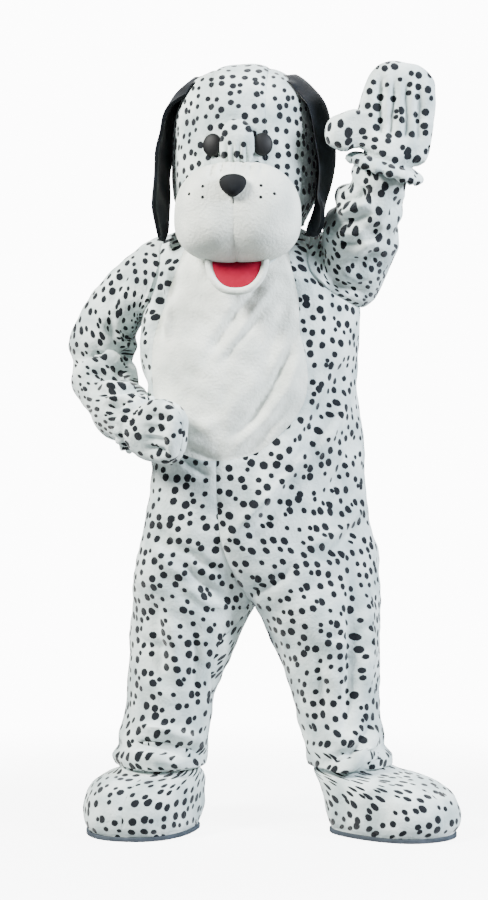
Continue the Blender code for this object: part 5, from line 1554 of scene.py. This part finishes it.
@dataclass
class Head:
    """The padded head with its muzzle, nose, eyes, ears and mouth."""

    wardrobe: Wardrobe
    rows: int = 64
    round_cells: int = 120
    wall: float = 0.007
    seam_dip: float = 0.0038
    seam_width: float = 0.005
    pad_dip: float = 0.0060
    eye_dip: float = 0.0028
    off_head: float = 0.0004    # from the head to the pieces on it
    off_muzzle: float = 0.0006
    neck_end: float = -0.16
    ear_bulge: dict[Side, float] = field(
        default_factory=lambda: {Side.RIGHT: 0.014, Side.LEFT: 0.030})
    ear_curl: float = 0.032     # how far an ear's front edge turns in over the head
    ear_curl_ends: dict[Side, tuple[float, float]] = field(
        default_factory=lambda: {Side.RIGHT: (0.15, 0.25), Side.LEFT: (0.80, 0.20)})

    def place(self) -> Matrix:
        """Where the head stands and looks."""
        x, y, yaw = HEAD_AT
        return Matrix.Translation((x, y, 0)) @ Matrix.Rotation(math.radians(yaw), 4, "Z")

    def points(self, at: np.ndarray | float, angle: np.ndarray | float) -> np.ndarray:
        """Points on the head: at is a ring's number, angle 0 in front, + to the wearer's left."""
        ring = between(HEAD_STEPS, at)
        across, along = np.sin(angle), np.cos(angle)
        rim = np.where(along > 0, RIM_SIDE, RIM_BACK)
        lift = blend(HEAD[-1].z, rim, ease(1.4 * (1 - along)))
        low = RIM_FROM + (ring.z - RIM_FROM) * (lift - RIM_FROM) / (HEAD[-1].z - RIM_FROM)
        z = np.where(ring.z < RIM_FROM, low, ring.z)
        reach = np.where(along > 0, ring.front, ring.back)
        return np.stack((ring.half * across + 0 * z, -reach * along + 0 * z, z), axis=-1)

    def at_height(self, z: float) -> float:
        """The number of the ring at a height."""
        heights = np.array([ring.z for ring in HEAD])
        return float(np.interp(-z, -heights, np.arange(len(HEAD))))

    def clear_of(self, row: np.ndarray, gap: float = 0.008) -> np.ndarray:
        """Points pushed out of the head, level, until they are clear of it by a gap."""
        ring = between(HEAD_STEPS, np.array([self.at_height(z) for z in row[:, 2]]))
        reach = np.where(row[:, 1] < 0, ring.front, ring.back)
        share = np.hypot(row[:, 0] / ring.half, row[:, 1] / reach)
        grown = np.maximum(1, (1 + gap / ring.half) / share)
        return row * np.stack((grown, grown, np.ones_like(grown)), axis=-1)

    def skin(self, dressed: bool = True) -> Skin:
        """The head's skin in its own frame, with its seams and soft dents if it is dressed."""
        t = np.arange(self.rows + 1) / self.rows
        angle = -math.pi + 2 * math.pi * np.arange(self.round_cells + 1) / self.round_cells
        grid = self.points(blend(0, len(HEAD) - 1, t)[:, None], angle[None, :])
        grid[:, -1] = grid[:, 0]
        cloth = cloth_lengths(grid, self.rows // 2, self.round_cells // 2, (11.0, 9.0))
        skin = Skin()
        skin.grid(grid, cloth, np.tile((0.0, 0.0, 0.2), (self.rows + 1, 1)),
                  np.zeros((self.rows, self.round_cells), dtype=int))
        skin.finish()
        if dressed:
            places = skin.places()
            lift = 0.0018 * ripple(places, 0.10, 31)
            gap = np.abs(np.abs(places[:, 0]) - GORE_HALF)
            lift -= self.seam_dip * np.exp(-(gap / self.seam_width) ** 2)
            front = places[:, 1] < 0
            x, up = places[:, 0] / BRIDGE[0], (places[:, 2] - BRIDGE_AT) / BRIDGE[1]
            off = ((np.abs(x) ** 2.4 + np.abs(up) ** 2.4) ** (1 / 2.4) - 1.03) * BRIDGE[0]
            lift -= np.where(front, self.pad_dip * np.exp(-(off / 0.007) ** 2), 0.0)
            for side in (-1, 1):
                x = (places[:, 0] - side * EYE_AT[0]) / EYE[0]
                up = (places[:, 2] - EYE_AT[1]) / EYE[1]
                off = np.maximum(0, np.hypot(x, up) - 1) * EYE[0]
                lift -= np.where(front, self.eye_dip * np.exp(-(off / 0.008) ** 2), 0.0)
            rim = np.array([vert.is_boundary for vert in skin.bm.verts])
            skin.lift(np.where(rim, 0.0, lift))
        return skin

    def solid(self) -> bmesh.types.BMesh:
        """The head's form as a closed solid to cut by, a little grown and with a long neck."""
        skin = self.skin(dressed=False)
        skin.lift(np.full(len(skin.bm.verts), self.off_head))
        bm = skin.bm
        rim = [edge for edge in bm.edges if edge.is_boundary]
        low = bmesh.ops.extrude_edge_only(bm, edges=rim)["geom"]
        for vert in low:
            if isinstance(vert, bmesh.types.BMVert):
                vert.co.z = self.neck_end
        bmesh.ops.holes_fill(bm, edges=[edge for edge in bm.edges if edge.is_boundary], sides=0)
        bm.transform(self.place())
        return bm

    def build_panels(self) -> None:
        """The gore over the crown and the two side panels."""
        half = SEAM / 2
        spans = {"head_gore": (-GORE_HALF + half, GORE_HALF - half),
                 "head_side_right": (-0.4, -GORE_HALF - half),
                 "head_side_left": (GORE_HALF + half, 0.4)}
        for node, (low, high) in spans.items():
            skin = self.skin()
            shell = skin.wall((0,), self.wall)
            skin.bm.free()
            shell.transform(self.place())
            piece = dress(node + "_plush", shell, self.wardrobe.spotted_head, node)
            cut(piece, box((low, -0.4, -0.3), (high, 0.4, 0.6), self.place()), True, 60)
            declare(piece, node)

    def build(self) -> None:
        """Build all of the head."""
        self.build_panels()
        self.build_muzzle()
        self.build_eyes_and_bridge()
        self.build_mouth()
        for side in Side:
            self.build_ear(side)

    @staticmethod
    def muzzle(grow: float = 0.0) -> bmesh.types.BMesh:
        """The stuffed muzzle's form in the head's frame."""
        bm = pillow(56, 80, muzzle_place)
        for vert in bm.verts:
            vert.normal_update()
        lifts = [grow + muzzle_lift(vert.co) for vert in bm.verts]
        for vert, lift in zip(bm.verts[:], lifts):
            vert.co += vert.normal * lift
        return bm

    def muzzle_tool(self) -> bmesh.types.BMesh:
        """The muzzle where it stands, a little grown, to cut by."""
        bm = self.muzzle(self.off_muzzle)
        bm.transform(self.place())
        return bm

    def build_muzzle(self) -> None:
        """The muzzle's two halves, the nose with its stem, and the whisker dots."""
        half = SEAM / 2
        for side, low, high in ((Side.RIGHT, -0.3, -half), (Side.LEFT, half, 0.3)):
            node = "muzzle_%s" % side.word
            bm = self.muzzle()
            bm.transform(self.place())
            piece = dress(node + "_plush", bm, self.wardrobe.white, node)
            cut(piece, self.solid())
            cut(piece, box((low, -0.5, -0.3), (high, 0.2, 0.5), self.place()), True, 50)
            declare(piece, node)
        nose = pillow(36, 56, nose_place)
        nose.transform(self.place())
        piece = dress("nose_foam", nose, self.wardrobe.nose, "nose")
        cut(piece, self.muzzle_tool(), sharp=50)
        declare(piece, "nose")
        self.build_marks()

    def build_marks(self) -> None:
        """The stitched stem under the nose and the whisker dots, laid on the muzzle."""
        bm = self.muzzle()
        tree = BVHTree.FromBMesh(bm)
        dots = bmesh.new()
        for x, z in WHISKERS:
            spot, normal, _, _ = tree.ray_cast(Vector((x, -0.6, z)), Vector((0, 1, 0)))
            turn = normal.to_track_quat("Z", "Y").to_matrix().to_4x4()
            made = bmesh.ops.create_uvsphere(dots, u_segments=20, v_segments=10,
                                             radius=WHISKER_RADIUS)["verts"]
            bmesh.ops.scale(dots, verts=made, vec=(1, 1, 0.28))
            bmesh.ops.transform(dots, verts=made, matrix=Matrix.Translation(spot) @ turn)
        dots.transform(self.place())
        dress("whisker_dots", dots, self.wardrobe.black_felt)
        line = []
        for k in range(STEM_POINTS):
            z = blend(STEM[0], STEM[1], k / (STEM_POINTS - 1))
            spot, normal, _, _ = tree.ray_cast(Vector((0.0, -0.6, z)), Vector((0, 1, 0)))
            line.append(Vector((0.0, spot.y - 0.0004, z)))
        bm.free()
        stem = tube([self.place() @ spot for spot in line], STEM_RADIUS, 12)
        dress("nose_stem", stem, self.wardrobe.black_felt)

    def build_eyes_and_bridge(self) -> None:
        """The two oval eyes and the dotted pad between them."""
        front = Vector(self.points(self.at_height(BRIDGE_AT), 0.0))
        at_bridge = self.place() @ Matrix.Translation(front)
        for side in Side:
            half = float(between(HEAD, EYE_AT[1]).half)
            angle = math.asin(EYE_AT[0] / half) * side.value
            spot = Vector(self.points(self.at_height(EYE_AT[1]), angle))
            turned = (self.place() @ Matrix.Translation(spot)
                      @ Matrix.Rotation(angle * 0.8, 4, "Z"))
            eye = pillow(28, 48, lambda x, y, z: Vector((EYE[0] * x, 0.012 * y, EYE[1] * z)))
            eye.transform(turned)
            node = "eye_%s" % side.word
            piece = dress(node + "_dome", eye, self.wardrobe.eye, node)
            cut(piece, self.solid())
            clear = pillow(16, 32, lambda x, y, z: bridge_place(x, y, z, self.off_muzzle))
            clear.transform(at_bridge)
            cut(piece, clear, sharp=50)
        pad = pillow(48, 72, bridge_place)
        mark_cloth(pad, (21.0, 4.0))
        for vert in pad.verts:
            vert.normal_update()
        moves = [vert.normal * bridge_lift(vert.co) for vert in pad.verts]
        for vert, move in zip(pad.verts[:], moves):
            vert.co += move
        pad.transform(at_bridge)
        piece = dress("snout_bridge_plush", pad, self.wardrobe.spotted_head, "snout_bridge")
        cut(piece, self.solid())
        cut(piece, self.muzzle_tool(), sharp=50)
        declare(piece, "snout_bridge")

    def build_ear(self, side: Side) -> None:
        """A flat padded velvet ear that hangs from the crown's side."""
        table = EAR[side.value]
        across_cells, down_cells = 30, 84
        t = 2 * np.arange(across_cells + 1) / across_cells - 1
        grid = np.zeros((down_cells + 1, across_cells + 1, 3))
        for j in range(down_cells + 1):
            v = j / down_cells
            lobe, a, b = (between(table, k) for k in (v, max(v - 0.03, 0), min(v + 0.03, 1)))
            way = Vector((b.x - a.x, b.y - a.y, b.z - a.z)).normalized()
            twist = math.radians(float(lobe.twist))
            across = Vector((math.sin(twist), -math.cos(twist), 0))
            across = (across - way * across.dot(way)).normalized()
            out = across.cross(way)
            if out.x < 0:
                out.negate()
            high, crown = float(ease(v / 0.3)), 1 - float(ease(v / 0.16))
            start, fade = self.ear_curl_ends[side]
            curl = self.ear_curl * (1 - float(ease((v - start) / fade))) * np.clip(t, 0, None) ** 2
            row = (np.array((lobe.x - 0.022 * crown, lobe.y, lobe.z + 0.028 * crown))
                   + np.outer((lobe.width + 0.030 * crown) / 2 * t, across)
                   + np.outer(self.ear_bulge[side] * (1 - t * t) * high
                              * (1 - 0.8 * float(ease((v - 0.55) / 0.35))), out)
                   - np.outer(t * t * (1 - high), (0.010, 0, 0.018))
                   - np.outer(curl, (1, 0.7, 0)))
            grid[j] = (self.clear_of(row) if v > 0.12 else row) * (side.value, 1, 1)
        skin = Skin()
        cloth = cloth_lengths(grid, 0, across_cells // 2, (0.0, 0.0))
        skin.grid(grid, cloth, np.tile((0.0, 0.0, 0.1), (down_cells + 1, 1)),
                  np.zeros((down_cells, across_cells), dtype=int))
        skin.bm.transform(self.place())
        skin.finish()
        places = skin.places()
        skin.lift(0.0016 * ripple(places, 0.10, 41 + side.value))
        edge = np.array([vert.is_boundary for vert in skin.bm.verts])
        rim = places[edge]
        off = np.min(np.linalg.norm(places[:, None] - rim[None], axis=-1), axis=1)
        share = np.sqrt(np.clip(1 - (1 - np.clip(off / 0.009, 0, 1)) ** 2, 0.06, 1))
        node = "ear_%s" % side.word
        shell = skin.wall((0,), EAR_THICK, share)
        skin.bm.free()
        piece = dress(node + "_velvet", shell, self.wardrobe.velvet, node, 75)
        cut(piece, self.solid(), sharp=75)
        declare(piece, node)

    def build_mouth(self) -> None:
        """The red lining and the white padded lip round its lower edge."""
        at_mouth = (self.place() @ Matrix.Translation(MOUTH_AT)
                    @ Matrix.Rotation(math.radians(-MOUTH_TILT), 4, "X"))
        bm = bmesh.new()
        made = bmesh.ops.create_circle(bm, cap_ends=True, segments=72, radius=1.0)["verts"]
        for vert in made:
            x, z = vert.co.x, vert.co.y
            down = MOUTH[1] * z * (0.25 if z > 0 else 1)
            vert.co = Vector((MOUTH[0] * squared(x, 0.85), 0.0, down))
        bmesh.ops.inset_region(bm, faces=bm.faces[:], thickness=0.004, depth=-0.0006)
        thicken(bm, (0, 0.006, 0))
        bmesh.ops.recalc_face_normals(bm, faces=bm.faces[:])
        bm.transform(at_mouth)
        piece = dress("mouth_lining_felt", bm, self.wardrobe.felt, "mouth_lining", 40)
        cut(piece, self.solid())
        cut(piece, self.muzzle_tool())
        declare(piece, "mouth_lining")
        away = LIP + self.off_muzzle
        line = []
        for k in range(73):
            a = math.pi * k / 72
            x = (MOUTH[0] + away) * squared(math.cos(a), 0.85)
            z = 0.030 if k in (0, 72) else -(MOUTH[1] + away) * math.sin(a)
            line.append(at_mouth @ Vector((x, 0.003, z)))
        lip = tube(line, LIP, 20)
        piece = dress("mouth_lip_plush", lip, self.wardrobe.white, "mouth_lip")
        cut(piece, self.solid())
        cut(piece, self.muzzle_tool(), sharp=60)
        declare(piece, "mouth_lip")


def muzzle_lift(spot: Vector) -> float:
    """How far the muzzle's seam, pleats and soft dents move a point of it out."""
    x, z = spot.x, spot.z - MUZZLE_AT[2]
    ahead = float(ease((-spot.y + MUZZLE_AT[1]) / 0.04))
    seam = -0.0045 * math.exp(-(x / 0.0035) ** 2) * float(ease((0.035 - z) / 0.03))
    total = seam + 0.0018 * float(ripple(np.array((x, spot.y, z)), 0.07, 61))
    for line, top, low, depth, width in MUZZLE_PLEATS:
        gap = x - line * (1 + 0.9 * (top - z))
        total -= depth * math.exp(-(gap / width) ** 2) * float(
            ease((z - low) / 0.03) * ease((top - z) / 0.012 + 0.4))
    return total * ahead


def bridge_lift(spot: Vector) -> float:
    """How far the pleats of the pad between the eyes move a point of it out."""
    total = 0.0
    for line, width in BRIDGE_PLEATS:
        total -= 0.0055 * math.exp(-((spot.x - line) / width) ** 2) * float(
            ease((0.012 - spot.z) / 0.03))
    return total * float(ease(-spot.y / 0.010))


def mark_cloth(bm: bmesh.types.BMesh, start: tuple[float, float]) -> None:
    """Give a pad a map of the cloth from its view from the front, in metres."""
    cloth = bm.loops.layers.uv.new("cloth")
    for face in bm.faces:
        for loop in face.loops:
            spot = loop.vert.co
            loop[cloth].uv = (start[0] + spot.x, start[1] + spot.z)


def box(low: Sequence[float], high: Sequence[float], place: Matrix) -> bmesh.types.BMesh:
    """A box from corner to corner in a frame."""
    bm = bmesh.new()
    bmesh.ops.create_cube(bm, size=1.0)
    for vert in bm.verts:
        vert.co = Vector([low[k] if vert.co[k] < 0 else high[k] for k in range(3)])
    bm.transform(place)
    return bm


def pillow(rows: int, round_cells: int,
           place: Callable[[float, float, float], Vector]) -> bmesh.types.BMesh:
    """A stuffed form from a sphere whose points are moved by place."""
    bm = bmesh.new()
    bmesh.ops.create_uvsphere(bm, u_segments=round_cells, v_segments=rows, radius=1.0)
    for vert in bm.verts:
        vert.co = place(*vert.co)
    bmesh.ops.triangulate(bm, faces=[face for face in bm.faces if len(face.verts) > 3])
    bmesh.ops.recalc_face_normals(bm, faces=bm.faces[:])
    return bm


def tube(line: Sequence[Vector], radius: float, around: int) -> bmesh.types.BMesh:
    """A closed tube along a line."""
    bm = bmesh.new()
    rings = []
    side = Vector((0, 1, 0))
    for k, spot in enumerate(line):
        way = (line[min(k + 1, len(line) - 1)] - line[max(k - 1, 0)]).normalized()
        side = (side - way * side.dot(way)).normalized()
        made = bmesh.ops.create_circle(bm, segments=around, radius=radius)["verts"]
        frame = Matrix((side, way.cross(side), way)).transposed().to_4x4()
        bmesh.ops.transform(bm, verts=made, matrix=Matrix.Translation(spot) @ frame)
        rings.append({edge for vert in made for edge in vert.link_edges})
    for a, b in zip(rings, rings[1:]):
        bmesh.ops.bridge_loops(bm, edges=list(a | b))
    ends = [edge for edge in bm.edges if edge.is_boundary]
    bmesh.ops.holes_fill(bm, edges=ends, sides=0)
    bmesh.ops.recalc_face_normals(bm, faces=bm.faces[:])
    return bm


def squared(value: float, power: float) -> float:
    """A power of a number's size that keeps its sign."""
    return math.copysign(abs(value) ** power, value)


def muzzle_place(x: float, y: float, z: float) -> Vector:
    """The muzzle: two puffed halves with a groove between them, fuller low down."""
    groove = 1 - 0.13 * math.exp(-(x / 0.16) ** 2) * max(0.0, 0.5 - 0.7 * z)
    return Vector((MUZZLE_AT[0] + MUZZLE[0] * squared(x, 0.78) * (1.0 - 0.06 * z),
                   MUZZLE_AT[1] + MUZZLE[2] * y * groove,
                   MUZZLE_AT[2] + MUZZLE[1] * squared(z, 0.82)))


def nose_place(x: float, y: float, z: float) -> Vector:
    """The nose: wide above and narrow below."""
    return Vector((NOSE_AT[0] + NOSE[0] * squared(x, 0.9) * (1 + 0.32 * z - 0.12 * z * z),
                   NOSE_AT[1] + NOSE[1] * y, NOSE_AT[2] + NOSE[2] * squared(z, 0.9)))


def bridge_place(x: float, y: float, z: float, grow: float = 0.0) -> Vector:
    """The pad between the eyes, a little narrower at its top."""
    return Vector(((BRIDGE[0] + grow) * squared(x, 0.8) * (1 - 0.12 * z),
                   (0.026 + grow) * y, (BRIDGE[1] + grow) * squared(z, 0.8)))


@dataclass
class ShoeCover:
    """A padded shoe cover in two halves over its sole."""

    side: Side
    form: SuitForm
    wardrobe: Wardrobe
    rows: int = 62
    round_cells: int = 56       # for each half
    wall: float = 0.005

    def points(self, height: np.ndarray, angle: np.ndarray, grow: float = 0.0) -> np.ndarray:
        """Points of the cover: angle 0 at the toe, positive towards +X before its yaw."""
        shell = between(SHOE, height)
        across, along = np.sin(angle), np.cos(angle)
        power = 2 / 2.3
        across = np.sign(across) * np.abs(across) ** power
        along = np.sign(along) * np.abs(along) ** power
        px = (shell.half + grow) * across
        py = -(np.where(along > 0, shell.toe, shell.heel) + grow) * along
        x, y, yaw, dx, dy = SHOE_LEFT if self.side is Side.LEFT else SHOE_RIGHT
        c, s = math.cos(math.radians(yaw)), math.sin(math.radians(yaw))
        return np.stack((x + shell.lean * dx + c * px - s * py,
                         y + shell.lean * dy + s * px + c * py, FLOOR + height + 0 * px), axis=-1)

    def build(self) -> None:
        """Build both halves and the sole."""
        sign = self.side.value
        t = np.arange(self.rows + 1) / self.rows
        heights = blend(SHOE[0].h, SHOE[-1].h, t)
        inside = (self.points(heights, 0 * heights)
                  + self.points(heights, 0 * heights + math.pi)) / 2
        skin = Skin()
        for half, way in ((0, 1), (1, -1)):
            angle = way * math.pi * np.arange(self.round_cells + 1) / self.round_cells
            grid = self.points(heights[:, None] + 0 * angle, angle[None, :] + 0 * heights[:, None])
            grid = self.form.tucked_in(sign, grid, CLEAR_HEM)
            run = np.stack((heights[:, None] + 0 * angle, angle[None, :] + 0 * heights[:, None],
                            0 * grid[:, :, 0] + 1), axis=-1)
            cloth = cloth_lengths(grid, 0, 0, (2.7 + half, 8.4 + sign))
            labels = np.full((self.rows, self.round_cells), half)
            skin.grid(grid, cloth, inside, labels, run)
        skin.finish()
        runs = skin.runs()
        height, angle = runs[:, 0], runs[:, 1]
        low = ease((0.135 - height) / 0.02)
        lift = -0.0026 * skin.seam_shares() * low
        places = skin.places()
        for at, width, depth, top, bottom in SHOE_PUCKERS:
            gap = (angle - at + math.pi) % (2 * math.pi) - math.pi
            lift += depth * np.exp(-(gap / width) ** 2) * ease((height - bottom) / 0.02) * ease(
                (top - height) / 0.02) * low
        gathers = np.cos(26 * angle + 1.1 * np.sin(5 * angle))
        lift += 0.0011 * gathers * np.exp(-((height - 0.012) / 0.014) ** 2)
        lift += 0.0010 * ripple(places, 0.06, 51 + sign) * low
        lift[height < SHOE[0].h + 0.0005] = 0.0
        skin.lift(lift)
        inner = 1 if sign > 0 else 0
        for half in (0, 1):
            node = "shoe_%s_%s" % (self.side.word, "inner" if half == inner else "outer")
            piece = dress(node + "_plush", skin.wall((half,), self.wall), self.wardrobe.spotted,
                          node)
            declare(piece, node)
        skin.bm.free()
        self.build_sole()

    def build_sole(self) -> None:
        """The moulded sole, with its worn lower and upper edges rounded."""
        bm = bmesh.new()
        count = 108
        made = bmesh.ops.create_circle(bm, cap_ends=True, segments=count, radius=1.0)["verts"]
        angle = 2 * math.pi * np.arange(count) / count
        ring = self.points(0 * angle + SHOE[0].h, angle, SOLE_EDGE)
        for vert, spot in zip(made, ring):
            vert.co = (spot[0], spot[1], FLOOR)
        thicken(bm, (0, 0, SOLE))
        rims = [edge for edge in bm.edges if abs(edge.verts[0].co.z - edge.verts[1].co.z) < 1e-5
                and any(len(face.verts) > 4 for face in edge.link_faces)]
        bmesh.ops.bevel(bm, geom=rims, offset=0.0016, offset_type="OFFSET", segments=3,
                        profile=0.5, affect="EDGES", material=-1)
        bmesh.ops.recalc_face_normals(bm, faces=bm.faces[:])
        node = "sole_%s" % self.side.word
        dress(node + "_rubber", bm, self.wardrobe.sole, node, 40)


@dataclass
class Zip:
    """The back zip's teeth, and the finish of its slider and pull."""

    form: SuitForm
    wardrobe: Wardrobe
    pitch: float = 0.0022
    tooth: tuple[float, float, float] = (0.0034, 0.0009, 0.0013)
    slider_span: tuple[float, float] = (0.010, 0.026)
    clear: float = 0.004        # from the teeth to the slider and the strip's ends
    stagger: tuple[float, float] = (0.0007, -0.0008)    # of the teeth, across and in

    def build(self) -> None:
        """Lay the teeth down the strip."""
        bm = bmesh.new()
        z = ZIP_STOP + self.clear
        k = 0
        while z < NECK.back - self.clear:
            spot = Vector(self.form.point(1, np.array(z), self.form.meeting_angle(np.array(z))))
            above = Vector(self.form.point(1, np.array(z + 0.002),
                                           self.form.meeting_angle(np.array(z + 0.002))))
            up = (above - spot).normalized()
            out = (Vector((0, 1, 0)) - up * up.y).normalized()
            if not self.slider_span[0] - self.clear < z < self.slider_span[1] + self.clear:
                across = up.cross(out).normalized()
                frame = Matrix((across, out, up)).transposed().to_4x4()
                made = bmesh.ops.create_cube(bm, size=1.0)["verts"]
                bmesh.ops.scale(bm, verts=made, vec=self.tooth)
                across_by, in_by = self.stagger
                shift = Vector((across_by if k % 2 else -across_by, in_by, 0))
                bmesh.ops.transform(bm, verts=made,
                                    matrix=Matrix.Translation(spot) @ frame
                                    @ Matrix.Translation(shift))
            z += self.pitch * up.z
            k += 1
        dress("zip_teeth", bm, self.wardrobe.metal, sharp=30)
        for name in ("zip_slider", "zip_pull"):
            thing = bpy.data.objects[name]
            for slot in thing.material_slots:
                slot.material = self.wardrobe.metal.material


@dataclass(frozen=True)
class Lamp:
    """A soft square light that looks at a point."""

    name: str
    at: tuple[float, float, float]
    size: float
    watts: float
    colour: str

    def build(self) -> None:
        """Hang the light."""
        data = bpy.data.lights.new(self.name, "AREA")
        data.size = self.size
        data.energy = self.watts
        data.color = linear(self.colour)[:3]
        lamp = bpy.data.objects.new(self.name, data)
        lamp.location = self.at
        aim = Vector((0, 0, -0.5)) - Vector(self.at)
        lamp.rotation_euler = aim.to_track_quat("-Z", "Y").to_euler()
        bpy.context.scene.collection.objects.link(lamp)


@dataclass
class Studio:
    """A plain pale floor, soft light and the camera of the photograph."""

    camera_at: tuple[float, float, float] = (0.0, -5.0, -0.492)
    lens: float = 83.333
    lamps: tuple[Lamp, ...] = (
        Lamp("key light", (-3.0, -2.0, 2.5), 1.2, 800.0, "FFFDF8"),
        Lamp("fill light", (3.3, -1.7, 1.3), 1.2, 530.0, "EEF4FF"),
        Lamp("back light", (0.6, 3.2, 2.4), 2.2, 230.0, "FFFFFF"),
    )
    sky: str = "EEF8F8"
    sky_strength: float = 0.30
    backdrop: float = 12.0      # how bright the white backdrop is to the eye
    backdrop_radius: float = 24.0
    floor_radius: float = 2.4
    floor_fades: float = 1.45   # from the middle to where the floor starts to fade

    def build(self) -> None:
        """Set up the floor, the light and the camera."""
        world = bpy.data.worlds.new("white room")
        world.use_nodes = True
        back = world.node_tree.nodes["Background"]
        back.inputs["Color"].default_value = linear(self.sky)
        back.inputs["Strength"].default_value = self.sky_strength
        bpy.context.scene.world = world
        for lamp in self.lamps:
            lamp.build()
        self.build_floor()
        data = bpy.data.cameras.new("camera")
        data.sensor_width = 36.0
        data.lens = self.lens
        camera = bpy.data.objects.new("camera", data)
        camera.location = self.camera_at
        camera.rotation_euler = (math.radians(90), 0, 0)
        bpy.context.scene.collection.objects.link(camera)
        bpy.context.scene.camera = camera

    def build_floor(self) -> None:
        """A pale floor that is lost in a white backdrop, which lights nothing itself."""
        bm = bmesh.new()
        bmesh.ops.create_circle(bm, cap_ends=True, segments=96, radius=self.floor_radius)
        bmesh.ops.translate(bm, verts=bm.verts[:], vec=(0, 0, FLOOR - 0.0002))
        board = Board("pale matt studio floor")
        reach = board.add("VectorMath", {"operation": "LENGTH"}, in_0=board.place)
        seen = board.span(reach.outputs["Value"], True, From_Min=self.floor_fades,
                          From_Max=self.floor_radius, To_Min=0.42, To_Max=0.0)
        paint = board.mix(board.noise(3.0, 2.0), "F6F7F8", "F1F3F4")
        made = board.finish(Base_Color=paint, Roughness=0.9, Alpha=seen)
        link_mesh("studio_floor", bm, made)
        bm = bmesh.new()
        bmesh.ops.create_icosphere(bm, subdivisions=4, radius=self.backdrop_radius)
        bmesh.ops.reverse_faces(bm, faces=bm.faces[:])
        made = Board("white paper backdrop").finish(
            Base_Color=linear("000000"), Specular_IOR_Level=0.0,
            Emission_Color=linear("FFFFFF"), Emission_Strength=self.backdrop)
        shell = link_mesh("studio_backdrop", bm, made)
        shell.visible_diffuse = shell.visible_glossy = shell.visible_shadow = False
        shell.visible_transmission = shell.visible_volume_scatter = False


def main() -> None:
    """Build the costume and its studio, piece by piece."""
    wardrobe = Wardrobe()
    suit = Suit(wardrobe)
    suit.build()
    for side in Side:
        Mitt(side, suit, wardrobe).build()
        ShoeCover(side, suit.form, wardrobe).build()
    Head(wardrobe).build()
    Zip(suit.form, wardrobe).build()
    Studio().build()


if __name__ == "__main__":
    logging.basicConfig(level=logging.INFO, format="%(message)s")
    main()
